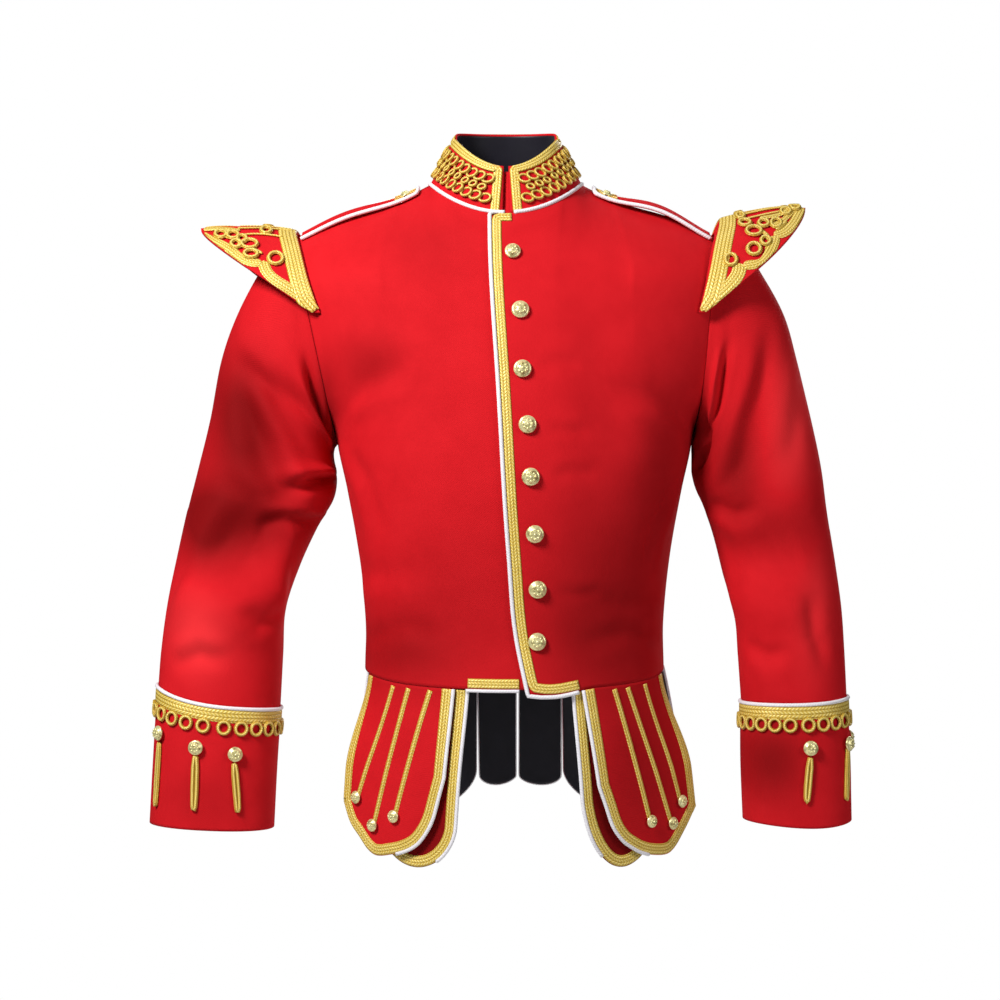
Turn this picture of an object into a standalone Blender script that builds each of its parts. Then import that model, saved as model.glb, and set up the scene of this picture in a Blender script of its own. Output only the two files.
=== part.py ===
# Pipe band doublet: a red cloth jacket with a stand collar, shoulder wings, gold braid and a skirt of tashes.
# Metres, +Z up. The front faces -Y, the wearer's left is +X, and the origin is the middle of the neck.
# A panel is worked out as a surface of two numbers: "across" runs from the centre line (0) to the side seam
# or armhole (1), and "up" runs from the waist seam (0) to the neckline and shoulder seam (TOP).

import math
from collections import namedtuple

import bmesh
import bpy
from mathutils import Matrix, Vector

# Cloth, seams and trims
CLOTH = 0.0016
COLLAR_CLOTH = 0.0024
WING_CLOTH = 0.0024
SEAM_GAP = 0.0004
COLLAR_GAP = 0.00052
TRIM_LIFT = 0.0005
BRAID = 0.0009
PIPING_RADIUS = 0.0016
BRAID_WIDTH = 0.0100
BRAID_INSET = 0.0008
HEM_INSET = 0.0015

# The body leans a little to the wearer's left below the shoulders
LEAN = 0.009
LEAN_TOP = -0.050
LEAN_FULL = -0.270

# Body sections. Each goes from the centre line to the side seam or to the armhole's edge
Section = namedtuple("Section", "up centre_z centre_y edge_x edge_y edge_z turn")
SECTIONS = {
    "front": (
        Section(0.000, -0.5245, -0.1260, 0.1595, 0.0040, -0.5085, 90.0),
        Section(0.055, -0.4700, -0.1210, 0.1590, 0.0040, -0.4600, 90.0),
        Section(0.130, -0.3950, -0.1280, 0.1660, 0.0040, -0.3900, 90.0),
        Section(0.200, -0.3250, -0.1350, 0.1780, 0.0020, -0.3220, 90.0),
        Section(0.252, -0.2700, -0.1360, 0.1884, 0.0000, -0.2725, 90.0),
        Section(0.320, -0.2000, -0.1300, 0.1953, -0.0575, -0.2268, 66.0),
        Section(0.375, -0.1380, -0.1180, 0.2058, -0.0700, -0.1576, 62.0),
        Section(0.425, -0.0850, -0.1000, 0.2151, -0.0566, -0.0962, 60.0),
    ),
    "back": (
        Section(0.000, -0.5150, 0.0980, 0.1595, 0.0040, -0.5085, 90.0),
        Section(0.055, -0.4650, 0.0890, 0.1590, 0.0040, -0.4600, 90.0),
        Section(0.130, -0.3920, 0.0960, 0.1660, 0.0040, -0.3900, 90.0),
        Section(0.200, -0.3200, 0.1090, 0.1780, 0.0020, -0.3220, 90.0),
        Section(0.252, -0.2640, 0.1165, 0.1884, 0.0000, -0.2725, 90.0),
        Section(0.320, -0.1900, 0.1180, 0.1953, 0.0575, -0.2268, 66.0),
        Section(0.375, -0.1250, 0.1100, 0.2058, 0.0700, -0.1576, 62.0),
        Section(0.425, -0.0650, 0.0940, 0.2151, 0.0566, -0.0962, 60.0),
    ),
}
ARMPIT = 0.252
TOP = 0.500
SQUARENESS = 2.3

# Neckline and shoulder seam
NECK_SHARE = 0.32
NECK_HALF_WIDTH = 0.0813
NECK_SIDE_Z = 0.005
NECK_DEPTH = {"front": 0.078, "back": 0.062}
NECK_RISE = {"front": -0.040, "back": 0.017}
NECK_CURVE = 1.7
SHOULDER_TIP = Vector((0.222, 0.0, -0.0505))
SHOULDER_SAG = 0.003
NECK_SLOPE = {"front": Vector((0.0, 0.45, 0.90)), "back": Vector((0.0, -0.35, 0.94))}
SHOULDER_SLOPE = {"front": Vector((0.0, 0.93, 0.36)), "back": Vector((0.0, -0.96, -0.29))}

# The left front laps over the right one
LAP_RISE = 0.0026
LAP_DROP = 0.0060
LAP_DROP_UP = 0.060
LAP_FLAT = 0.036
LAP_END = 0.085
UNDERLAP = 0.033
CORNER_DIP = 0.006
COLLAR_START = 0.0192
FrontEdge = namedtuple("FrontEdge", "up across_x")
FRONT_EDGE = (
    FrontEdge(0.000, 0.0145),
    FrontEdge(0.060, 0.0015),
    FrontEdge(0.130, -0.0045),
    FrontEdge(0.200, -0.0095),
    FrontEdge(0.290, -0.0140),
    FrontEdge(0.500, -0.0155),
)

# Grid of the body panels
ROWS_BELOW_ARMPIT = 8
ROWS_ABOVE_ARMPIT = 10
NECK_COLUMNS = 6
SHOULDER_COLUMNS = 6
WIDER_AT_WAIST = 0.9

# Collar
COLLAR_HALF_WIDTH = 0.0546
COLLAR_DEPTH = {"front": 0.062, "back": 0.048}
COLLAR_SIDE_Z = 0.053
COLLAR_RISE = {"front": -0.037, "back": 0.013}
COLLAR_CURVE = {"front": 1.7, "back": 0.35}
COLLAR_GAP_DEGREES = 2.6
COLLAR_COLUMNS = 24
COLLAR_ROWS = (0.0, 0.42, 0.81, 0.985)
COLLAR_TILT = 0.6
COLLAR_BRAID_INSET = 0.6
COLLAR_BRAID_TURN = 9.0

# Sleeves, from under the shoulder to the cuff seam, and cuffs
Ring = namedtuple("Ring", "along outer_x outer_z inner_x inner_z half_depth middle_y")
SLEEVE_RINGS = {
    "right": (
        Ring(0.030, 0.2460, -0.0640, 0.1835, -0.2770, 0.070, 0.000),
        Ring(0.055, 0.2670, -0.0960, 0.1845, -0.2830, 0.070, 0.000),
        Ring(0.090, 0.2890, -0.1400, 0.1838, -0.2905, 0.070, 0.000),
        Ring(0.125, 0.3040, -0.1850, 0.1820, -0.2990, 0.070, 0.000),
        Ring(0.165, 0.3150, -0.2450, 0.1808, -0.3130, 0.069, -0.002),
        Ring(0.210, 0.3280, -0.3000, 0.1850, -0.3330, 0.068, -0.005),
        Ring(0.260, 0.3400, -0.3500, 0.2010, -0.3600, 0.065, -0.010),
        Ring(0.310, 0.3500, -0.4000, 0.2200, -0.4020, 0.062, -0.016),
        Ring(0.360, 0.3585, -0.4450, 0.2340, -0.4480, 0.059, -0.022),
        Ring(0.410, 0.3640, -0.4900, 0.2360, -0.4950, 0.056, -0.027),
        Ring(0.450, 0.3665, -0.5260, 0.2386, -0.5510, 0.054, -0.030),
    ),
    "left": (
        Ring(0.030, 0.2520, -0.0620, 0.1990, -0.2790, 0.070, 0.000),
        Ring(0.055, 0.2740, -0.0930, 0.1990, -0.2860, 0.070, 0.000),
        Ring(0.090, 0.2965, -0.1350, 0.1988, -0.2950, 0.069, 0.000),
        Ring(0.125, 0.3095, -0.1800, 0.1992, -0.3050, 0.068, 0.000),
        Ring(0.165, 0.3238, -0.2400, 0.2030, -0.3200, 0.067, -0.002),
        Ring(0.210, 0.3350, -0.2950, 0.2110, -0.3380, 0.066, -0.005),
        Ring(0.260, 0.3410, -0.3450, 0.2195, -0.3650, 0.063, -0.010),
        Ring(0.310, 0.3490, -0.4000, 0.2300, -0.4080, 0.060, -0.016),
        Ring(0.360, 0.3545, -0.4450, 0.2425, -0.4520, 0.057, -0.022),
        Ring(0.410, 0.3570, -0.4900, 0.2455, -0.4960, 0.054, -0.027),
        Ring(0.450, 0.3590, -0.5385, 0.2486, -0.5440, 0.052, -0.030),
    ),
}
# How far the cuff's top edge and its hem hang between their sides, and where the sleeve starts to follow
CUFF_SAG = {"right": (0.0060, 0.0), "left": (0.0020, 0.0040)}
CUFF_SAG_SKEW = 0.6
CUFF_SAG_FROM = 0.30
CUFF_RINGS = {
    "right": (
        Ring(0.000, 0.3678, -0.5266, 0.2378, -0.5516, 0.055, -0.030),
        Ring(0.070, 0.3715, -0.5980, 0.2415, -0.6120, 0.054, -0.033),
        Ring(0.140, 0.3750, -0.6700, 0.2445, -0.6760, 0.053, -0.036),
    ),
    "left": (
        Ring(0.000, 0.3602, -0.5391, 0.2478, -0.5446, 0.053, -0.030),
        Ring(0.065, 0.3625, -0.6030, 0.2475, -0.6050, 0.052, -0.033),
        Ring(0.130, 0.3635, -0.6670, 0.2495, -0.6670, 0.051, -0.036),
    ),
}
SLEEVE_END = 0.450
SLEEVE_SQUARENESS = 2.2
SLEEVE_ROWS = 14
CUFF_ROWS = 3
MEAN_ARM_RADIUS = 0.064

# Largest folds of the sleeves: a trough goes in, a ridge comes out. The slant turns a fold from the arm's length
Fold = namedtuple("Fold", "along around length width depth slant")
SLEEVE_FOLDS = {
    "right": (
        Fold(0.110, 128.0, 0.070, 0.014, -0.0060, -8.0),
        Fold(0.215, 70.0, 0.110, 0.017, -0.0045, 24.0),
        Fold(0.165, 62.0, 0.070, 0.015, -0.0035, 52.0),
        Fold(0.232, 158.0, 0.045, 0.013, -0.0060, 78.0),
        Fold(0.190, 150.0, 0.040, 0.022, 0.0035, 80.0),
        Fold(0.230, 250.0, 0.080, 0.018, -0.0045, -35.0),
    ),
    "left": (
        Fold(0.115, 118.0, 0.070, 0.012, -0.0050, -4.0),
        Fold(0.150, 82.0, 0.110, 0.015, -0.0040, 10.0),
        Fold(0.215, 38.0, 0.100, 0.016, -0.0035, 8.0),
        Fold(0.150, 150.0, 0.050, 0.014, -0.0055, 60.0),
        Fold(0.240, 240.0, 0.080, 0.018, -0.0045, 30.0),
    ),
}

# Shoulder wings: a crescent from the front point over the shoulder to the back point
WING_REACH = 0.113
WING_EDGE = 0.995
WING_INSET = 0.115
WING_WIDTH = {"right": 0.098, "left": 0.092}
WING_POINT_WIDTH = 0.006
WING_RISE = {"right": 0.004, "left": 0.015}
WING_DROP = {"right": 0.007, "left": 0.013}
WING_SPREAD = 0.012
WING_ARCH = {"right": 0.004, "left": 0.005}
WING_STAND = {"right": 0.002, "left": 0.013}
WING_STAND_OUT = 0.08
WING_LIFT = 0.0030
WING_STATIONS = (-1.0, -0.8, -0.6, -0.4, -0.2, 0.0, 0.2, 0.4, 0.6, 0.8, 1.0)
WING_COLUMNS = (0.08, 0.25, 0.50, 0.84, 0.97)

# Shoulder straps
STRAP_START = 0.375
STRAP_END = 0.975
STRAP_HALF_WIDTH = 0.021
STRAP_STATIONS = 9
STRAP_ARCH = {"right": 0.003, "left": 0.008}

# Skirt of tashes. "across" runs along the waist seam, the shift is how far the lower end moves to the side
Tash = namedtuple("Tash", "name half side start end side_length tip_length far_length shift flare layer")
TASHES = (
    Tash("tash_front_right", "front", -1, 0.223, 0.797, 0.0900, 0.1800, 0.1320, 0.0122, 0.091, 0),
    Tash("tash_front_left", "front", 1, 0.251, 0.824, 0.0980, 0.1800, 0.1405, 0.0256, 0.093, 0),
    Tash("tash_under_right", "front", -1, 0.166, 0.560, 0.1400, 0.1850, 0.1500, 0.0123, 0.051, 1),
    Tash("tash_under_left", "front", 1, 0.211, 0.600, 0.1080, 0.1860, 0.1500, 0.0125, 0.053, 1),
    Tash("tash_side_right", "back", -1, 0.136, 0.880, 0.1180, 0.1700, 0.1400, 0.014, 0.11, 0),
    Tash("tash_side_left", "back", 1, 0.184, 0.985, 0.1180, 0.1700, 0.1400, 0.020, 0.22, 0),
    Tash("tash_back_right", "back", -1, -0.004, 0.130, 0.1240, 0.1340, 0.1240, -0.003, 0.10, 0),
    Tash("tash_back_left", "back", 1, 0.016, 0.178, 0.1240, 0.1340, 0.1240, -0.001, 0.10, 0),
)
TASH_SEAT = 0.0025
TASH_LAYER = 0.0040
TASH_LAYER_DROP = 0.005
TASH_ROUND = 0.55
TASH_HANG = 0.170
# The front tashes hang flatter than the waist above them: share of flatness, the place across that they turn
# about, the width of one unit across, and the drop at which they are flat
TASH_FLATTEN = 0.60
TASH_FLAT_ABOUT = 0.44
TASH_FLAT_REACH = 0.235
TASH_FLAT_DROP = 0.100
# Lengths of the right (-1) and left (1) outer front tash at places across it
TASH_EDGE_PLACES = (0.0, 0.03, 0.066, 0.13, 0.20, 0.30, 0.42, 0.58, 0.68, 0.78, 0.90, 1.0)
TASH_EDGE_LENGTHS = {
    -1: (0.0900, 0.1095, 0.1321, 0.1500, 0.1610, 0.1690, 0.1745, 0.1790, 0.1745, 0.1642, 0.1520, 0.1320),
    1: (0.0980, 0.1165, 0.1392, 0.1550, 0.1635, 0.1718, 0.1772, 0.1797, 0.1745, 0.1645, 0.1518, 0.1405),
}
TASH_COLUMNS = (0.0, 0.04, 0.13, 0.328, 0.382, 0.53, 0.585, 0.71, 0.764, 0.87, 0.96, 1.0)
TASH_ROWS = (0.0, 0.05, 0.30, 0.56, 0.80, 0.91, 0.975, 1.0)
TASH_BARS = (3, 5, 7)
PLAIN_TASH_COLUMNS = (0.0, 0.04, 0.13, 0.38, 0.62, 0.87, 0.96, 1.0)
PLAIN_TASH_ROWS = (0.0, 0.05, 0.40, 0.75, 0.91, 0.975, 1.0)

# Buttons: a dome on a short shank
BUTTON_RADIUS = 0.0095
SMALL_BUTTON_RADIUS = 0.0068
CUFF_BUTTON_RADIUS = 0.0078
BUTTON_SHANK = 0.0022
SMALL_BUTTON_SHANK = 0.0006
BUTTON_STEPS = 8
STRAP_BUTTON_PART = 0.11
STRAP_BUTTON_CROSSWISE = -0.2
TASH_BUTTON_DOWN = 0.77
FrontButton = namedtuple("FrontButton", "up inset")
FRONT_BUTTONS = (
    FrontButton(0.4346, 0.0215),
    FrontButton(0.3741, 0.0260),
    FrontButton(0.3205, 0.0240),
    FrontButton(0.2658, 0.0257),
    FrontButton(0.2158, 0.0260),
    FrontButton(0.1590, 0.0265),
    FrontButton(0.1025, 0.0252),
    FrontButton(0.0500, 0.0190),
)

# Cuff braid: a band with hanging loops and three bars
CUFF_BAND = 0.100
CUFF_LOOPS = 24
CUFF_LOOP_END = 0.200
CUFF_BAR_END = 0.940
CUFF_BARS = {"right": (36.0, 79.5, 112.0), "left": (33.0, 84.0, -14.0)}
CUFF_BUTTONS = {"right": (0.311, 0.349, 0.378), "left": (0.358, 0.351, 0.345)}

SIDES = {"right": -1, "left": 1}
HALF_SIGN = {"front": 1, "back": -1}


def smooth_step(low, high, value):
    part = min(1.0, max(0.0, (value - low) / (high - low)))
    return part * part * (3.0 - 2.0 * part)


def mix(first, second, part):
    return first + (second - first) * part


def signed_power(value, power):
    return math.copysign(abs(value) ** power, value)


# A smooth curve through values at uneven places. The slope at the last one may be given
def curve_through(places, values, at, last_slope=None):
    last = len(places) - 1
    index = 0
    while index < last - 1 and at > places[index + 1]:
        index += 1
    slopes = []
    for place in (index, index + 1):
        before = max(place - 1, 0)
        after = min(place + 1, last)
        slope = (values[after] - values[before]) / (places[after] - places[before])
        if place == last and last_slope is not None:
            slope = last_slope
        slopes.append(slope)
    span = places[index + 1] - places[index]
    t = (at - places[index]) / span
    start = values[index] * (2.0 * t**3 - 3.0 * t**2 + 1.0)
    leave = slopes[0] * ((t**3 - 2.0 * t**2 + t) * span)
    finish = values[index + 1] * (3.0 * t**2 - 2.0 * t**3)
    arrive = slopes[1] * ((t**3 - t**2) * span)
    return start + leave + finish + arrive


def lean(z):
    return LEAN * smooth_step(-LEAN_TOP, -LEAN_FULL, -z)


# Point of one body section
def section_point(section, across):
    power = 2.0 / SQUARENESS
    end = math.radians(section.turn)
    angle = end * across
    end_cosine = max(0.0, math.cos(end)) ** power
    out = (math.sin(angle) / math.sin(end)) ** power
    depth = (max(0.0, math.cos(angle)) ** power - end_cosine) / (1.0 - end_cosine)
    x = section.edge_x * out
    y = mix(section.edge_y, section.centre_y, depth)
    z = mix(section.centre_z, section.edge_z, across * across)
    return Vector((x, y, z))


# Point of the neckline, and past the neck's side of the shoulder seam
def top_point(half, across):
    if across <= NECK_SHARE:
        angle = math.radians(90.0) * across / NECK_SHARE
        cosine = max(0.0, math.cos(angle))
        y = -HALF_SIGN[half] * NECK_DEPTH[half] * cosine
        z = NECK_SIDE_Z + NECK_RISE[half] * cosine**NECK_CURVE
        return Vector((NECK_HALF_WIDTH * math.sin(angle), y, z))
    part = (across - NECK_SHARE) / (1.0 - NECK_SHARE)
    start = Vector((NECK_HALF_WIDTH, 0.0, NECK_SIDE_Z))
    point = mix(start, SHOULDER_TIP, part)
    point.z -= SHOULDER_SAG * math.sin(2.0 * math.pi * part)
    return point


# Point of the body's outer surface. A negative "across" goes past the centre line
def body_point(half, side, across, up):
    reach = abs(across)
    places = [section.up for section in SECTIONS[half]] + [TOP]
    points = [section_point(section, reach) for section in SECTIONS[half]] + [top_point(half, reach)]
    if up < ARMPIT:
        fade = 1.0 - smooth_step(0.5, 1.0, reach)
        for place, point in zip(places, points):
            point.y *= fade if place > ARMPIT else 1.0
    part = smooth_step(0.0, NECK_SHARE, reach)
    slope = mix(NECK_SLOPE[half], SHOULDER_SLOPE[half], part)
    slope *= (points[-1] - points[-2]).length / (places[-1] - places[-2])
    point = curve_through(places, points, up, slope)
    point.x = side * math.copysign(point.x, across) + lean(point.z)
    return point


# The left front stands out over the right one near the centre
def front_point(side, across, up):
    point = body_point("front", side, across, up)
    if side == SIDES["left"]:
        nearness = 1.0 - smooth_step(LAP_FLAT, LAP_END, point.x - lean(point.z))
        point.y -= LAP_RISE * nearness
        point.z -= LAP_DROP * nearness * max(0.0, 1.0 - up / LAP_DROP_UP)
    return point


def panel_point(half, side, across, up):
    if half == "front":
        return front_point(side, across, up)
    return body_point(half, side, across, up)


def normal_of(surface, first, second, sign):
    step = 0.003
    along_first = surface(first + step, second) - surface(first - step, second)
    along_second = surface(first, second + step) - surface(first, second - step)
    return along_first.cross(along_second).normalized() * sign


def panel_normal(half, side, across, up):
    reach = math.copysign(min(abs(across), 0.99), across)
    height = min(up, TOP - 0.004)
    surface = lambda first, second: panel_point(half, side, first, second)
    return normal_of(surface, reach, height, side * HALF_SIGN[half])


# The "across" value whose point lies at a distance x from the centre line
def across_at(half, x, up):
    low = 0.0
    high = 1.0
    for _ in range(24):
        middle = (low + high) / 2.0
        point = body_point(half, 1, middle, up)
        if point.x - lean(point.z) < abs(x):
            low = middle
        else:
            high = middle
    return math.copysign((low + high) / 2.0, x)


def front_edge_x(up):
    places = [row.up for row in FRONT_EDGE]
    values = [row.across_x for row in FRONT_EDGE]
    return curve_through(places, values, up)


# Directions that the two sides of a seam share, so that their rims lie parallel
def neck_direction(side, half, across):
    angle = math.radians(90.0) * abs(across) / NECK_SHARE
    level = math.sqrt(1.0 - COLLAR_TILT**2)
    x = math.copysign(level * math.sin(angle), side * across)
    y = -HALF_SIGN[half] * level * math.cos(angle)
    return Vector((x, y, COLLAR_TILT))


def shoulder_direction(side):
    seam = SHOULDER_TIP - Vector((NECK_HALF_WIDTH, 0.0, NECK_SIDE_Z))
    return Vector((-seam.z * side, 0.0, seam.x)).normalized()


# Armhole: from the shoulder tip (0) down the front to the armpit (180) and up the back
def armhole_place(degrees):
    turn = degrees % 360.0
    if turn <= 180.0:
        return "front", mix(TOP, ARMPIT, turn / 180.0)
    return "back", mix(ARMPIT, TOP, (turn - 180.0) / 180.0)


def armhole_point(side, degrees):
    half, up = armhole_place(degrees)
    return body_point(half, side, 1.0, up)


def armhole_axis(side):
    drop = armhole_point(side, 180.0) - armhole_point(side, 0.0)
    return Vector((-drop.z * side, 0.0, drop.x * side)).normalized()


def armhole_direction(side, degrees):
    centre = (armhole_point(side, 0.0) + armhole_point(side, 180.0)) / 2.0
    axis = armhole_axis(side)
    out = armhole_point(side, degrees) - centre
    out -= axis * out.dot(axis)
    return out.normalized()


def ring_point(ring, side, degrees, sag=0.0):
    power = 2.0 / SLEEVE_SQUARENESS
    angle = math.radians(degrees)
    out = signed_power(math.cos(angle), power)
    front = signed_power(math.sin(angle), power)
    x = (ring.outer_x + ring.inner_x) / 2.0 + (ring.outer_x - ring.inner_x) / 2.0 * out
    z = (ring.outer_z + ring.inner_z) / 2.0 + (ring.outer_z - ring.inner_z) / 2.0 * out
    z -= sag * (1.0 - out**2) * (1.0 + CUFF_SAG_SKEW * out)
    y = ring.middle_y - ring.half_depth * front
    return Vector((side * x, y, z))


def fold_depth(folds, along, degrees):
    depth = 0.0
    for fold in folds:
        turn = (degrees - fold.around + 180.0) % 360.0 - 180.0
        around = math.radians(turn) * MEAN_ARM_RADIUS
        slant = math.radians(fold.slant)
        down = along - fold.along
        lengthwise = down * math.cos(slant) + around * math.sin(slant)
        crosswise = around * math.cos(slant) - down * math.sin(slant)
        fade = math.exp(-((lengthwise / fold.length) ** 2) - (crosswise / fold.width) ** 2)
        depth += fold.depth * fade
    return depth


# Point of a sleeve's outer surface at a distance along the arm
def smooth_sleeve_point(name, along, degrees):
    side = SIDES[name]
    rings = SLEEVE_RINGS[name]
    places = [0.0] + [ring.along for ring in rings]
    start = armhole_point(side, degrees) + armhole_axis(side) * SEAM_GAP
    points = [start]
    for ring in rings:
        sag = CUFF_SAG[name][0] * smooth_step(CUFF_SAG_FROM, SLEEVE_END, ring.along)
        points.append(ring_point(ring, side, degrees, sag))
    return curve_through(places, points, along)


def sleeve_normal(name, along, degrees):
    surface = lambda first, second: smooth_sleeve_point(name, first, second * 100.0)
    place = min(max(along, 0.004), SLEEVE_END - 0.004)
    return normal_of(surface, place, degrees / 100.0, -SIDES[name])


def sleeve_point(name, along, degrees):
    point = smooth_sleeve_point(name, along, degrees)
    settled = smooth_step(0.0, 0.03, along) * (1.0 - smooth_step(SLEEVE_END - 0.04, SLEEVE_END, along))
    depth = fold_depth(SLEEVE_FOLDS[name], along, degrees) * settled
    return point + sleeve_normal(name, along, degrees) * depth


def cuff_point(name, part, degrees):
    rings = CUFF_RINGS[name]
    places = [ring.along / rings[-1].along for ring in rings]
    points = []
    for ring, place in zip(rings, places):
        points.append(ring_point(ring, SIDES[name], degrees, mix(*CUFF_SAG[name], place)))
    return curve_through(places, points, part)


def cuff_normal(name, part, degrees):
    surface = lambda first, second: cuff_point(name, first, second * 100.0)
    return normal_of(surface, part, degrees / 100.0, -SIDES[name])


# Collar: degrees from the centre front (0) round the wearer's left (90) and right (-90) to the back
def collar_base(degrees):
    side = 1 if degrees > 0.0 else -1
    turn = abs(degrees)
    if turn <= 90.0:
        half, across = "front", NECK_SHARE * turn / 90.0
    else:
        half, across = "back", NECK_SHARE * (180.0 - turn) / 90.0
    direction = neck_direction(side, half, across)
    rise = Vector((-direction.x, -direction.y, 0.0)).normalized() * COLLAR_TILT
    rise.z = math.sqrt(1.0 - COLLAR_TILT**2)
    return panel_point(half, side, across, TOP) + rise * COLLAR_GAP


def collar_top(degrees):
    angle = math.radians(degrees)
    half = "front" if abs(degrees) <= 90.0 else "back"
    cosine = abs(math.cos(angle))
    y = -HALF_SIGN[half] * COLLAR_DEPTH[half] * cosine
    z = COLLAR_SIDE_Z + COLLAR_RISE[half] * cosine ** COLLAR_CURVE[half]
    return Vector((COLLAR_HALF_WIDTH * math.sin(angle), y, z))


def collar_point(degrees, height):
    return mix(collar_base(degrees), collar_top(degrees), height)


def collar_direction(degrees):
    angle = math.radians(degrees)
    level = math.sqrt(1.0 - COLLAR_TILT**2)
    return Vector((level * math.sin(angle), -level * math.cos(angle), COLLAR_TILT))


# Wing: station runs from the back point (-1) to the front point (1), out from the armhole (0) to the edge (1)
def wing_point(name, station, out):
    side = SIDES[name]
    reach = abs(station)
    half = "front" if station >= 0.0 else "back"
    up = TOP - WING_REACH * reach
    across = WING_EDGE - WING_INSET * reach**1.6
    inner = body_point(half, side, across, up)
    inner += panel_normal(half, side, across, up) * WING_LIFT
    width = WING_WIDTH[name] * (1.0 - reach**1.45) + WING_POINT_WIDTH
    rise = WING_RISE[name] * (1.0 - reach) - WING_DROP[name] * math.sin(math.pi * reach)
    spread = -math.copysign(WING_SPREAD * math.sin(math.pi * reach), station)
    outer = inner + Vector((side * width, spread, rise))
    point = mix(inner, outer, out)
    point.z += WING_ARCH[name] * 4.0 * out * (1.0 - out) * (1.0 - reach)
    point.z += WING_STAND[name] * smooth_step(0.0, WING_STAND_OUT, out) * (1.0 - reach)
    return point


def wing_normal(name, station, out):
    surface = lambda first, second: wing_point(name, first, second)
    place = station if abs(station) > 0.01 else 0.01
    return normal_of(surface, min(max(place, -0.98), 0.98), out, SIDES[name])


# Strap: part runs from the collar (0) to the wing (1), crosswise from the front edge (-1) to the back one (1)
def strap_point(name, part, crosswise):
    side = SIDES[name]
    across = mix(STRAP_START, STRAP_END, part)
    half = "front" if crosswise <= 0.0 else "back"
    stretch = 1.0 + 1.2 * (1.0 - part) ** 2
    up = TOP - abs(crosswise) * STRAP_HALF_WIDTH / stretch
    point = body_point(half, side, across, up)
    point.z += STRAP_ARCH[name] * math.sin(math.pi * part) ** 2
    return point, panel_normal(half, side, across, up)


# Length of a tash at a place across it
def tash_length(tash, crosswise):
    if has_bars(tash):
        return curve_through(TASH_EDGE_PLACES, TASH_EDGE_LENGTHS[tash.side], crosswise)
    share = max(0.0, 1.0 - (2.0 * crosswise - 1.0) ** 2) ** TASH_ROUND
    return mix(mix(tash.side_length, tash.far_length, crosswise), tash.tip_length, share)


# The waist seam with its directions outward and towards the outer edge
def waist_frame(tash, across):
    seam = panel_point(tash.half, tash.side, across, 0.0)
    out = panel_normal(tash.half, tash.side, across, 0.0)
    out.z = 0.0
    out.normalize()
    along = Vector((-out.y, out.x, 0.0)) * tash.side * HALF_SIGN[tash.half]
    return seam, out, along


# Tash: crosswise from its edge near the centre (0) to its outer edge (1), down from the waist seam
def tash_point(tash, crosswise, down):
    across = mix(tash.start, tash.end, crosswise)
    point, out, along = waist_frame(tash, across)
    drop = tash_length(tash, crosswise) * down
    shift = tash.shift
    if tash.half == "front":
        middle, ahead, aside = waist_frame(tash, TASH_FLAT_ABOUT)
        flat = middle + aside * (across - TASH_FLAT_ABOUT) * TASH_FLAT_REACH
        flat.z = point.z
        share = TASH_FLATTEN * smooth_step(0.0, TASH_FLAT_DROP, drop)
        point = mix(point, flat, share)
        out = mix(out, ahead, share).normalized()
        along = mix(along, aside, share).normalized()
    else:
        shift *= crosswise
    inset = mix(TASH_SEAT, TASH_LAYER, smooth_step(0.0, TASH_LAYER_DROP, drop))
    point = point - out * inset * tash.layer
    point += Vector((0.0, 0.0, -drop - SEAM_GAP))
    point += out * tash.flare * (drop - drop * drop / (2.0 * TASH_HANG))
    return point + along * shift * (drop / tash.tip_length)


def tash_normal(tash, crosswise, down):
    surface = lambda first, second: tash_point(tash, first, second)
    across = min(max(crosswise, 0.06), 0.94)
    return normal_of(surface, across, min(down, 0.95), -tash.side * HALF_SIGN[tash.half])


# Materials
def make_material(name, colour, roughness, metallic):
    material = bpy.data.materials.new(name)
    material.use_nodes = True
    shader = material.node_tree.nodes["Principled BSDF"]
    shader.inputs["Base Color"].default_value = (*colour, 1.0)
    shader.inputs["Roughness"].default_value = roughness
    shader.inputs["Metallic"].default_value = metallic
    material.diffuse_color = (*colour, 1.0)
    return material


def add_object(name, mesh, material):
    mesh.materials.append(material)
    piece = bpy.data.objects.new(name, mesh)
    collection.objects.link(piece)
    return piece


# A wall over a grid of (point, direction) pairs. Only the cells in keep are built, or all of them
def add_wall(name, rows, bottom, thickness, material, keep=None, wrap=False):
    shape = bmesh.new()
    columns = len(rows[0])
    cell_columns = columns if wrap else columns - 1
    if keep is None:
        keep = {(row, column) for row in range(len(rows) - 1) for column in range(cell_columns)}
    made = {}

    def corner(row, column, layer):
        key = (row, column % columns, layer)
        if key not in made:
            point, direction = rows[row][column % columns]
            made[key] = shape.verts.new(point + direction * (bottom + thickness * layer))
        return made[key]

    def add_strip(first, second, third, fourth):
        shape.faces.new((first, second, third))
        shape.faces.new((first, third, fourth))

    def is_kept(row, column):
        return (row, column % cell_columns if wrap else column) in keep

    for row, column in sorted(keep):
        places = ((row, column), (row, column + 1), (row + 1, column + 1), (row + 1, column))
        outer = [corner(*place, 1) for place in places]
        inner = [corner(*place, 0) for place in places]
        add_strip(*outer)
        shape.faces.new((inner[0], inner[2], inner[1]))
        shape.faces.new((inner[0], inner[3], inner[2]))
        neighbours = ((row - 1, column), (row, column + 1), (row + 1, column), (row, column - 1))
        for edge, neighbour in enumerate(neighbours):
            if not is_kept(*neighbour):
                after = (edge + 1) % 4
                add_strip(outer[after], outer[edge], inner[edge], inner[after])
    bmesh.ops.recalc_face_normals(shape, faces=shape.faces)
    mesh = bpy.data.meshes.new(name)
    shape.to_mesh(mesh)
    shape.free()
    return add_object(name, mesh, material)


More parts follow.
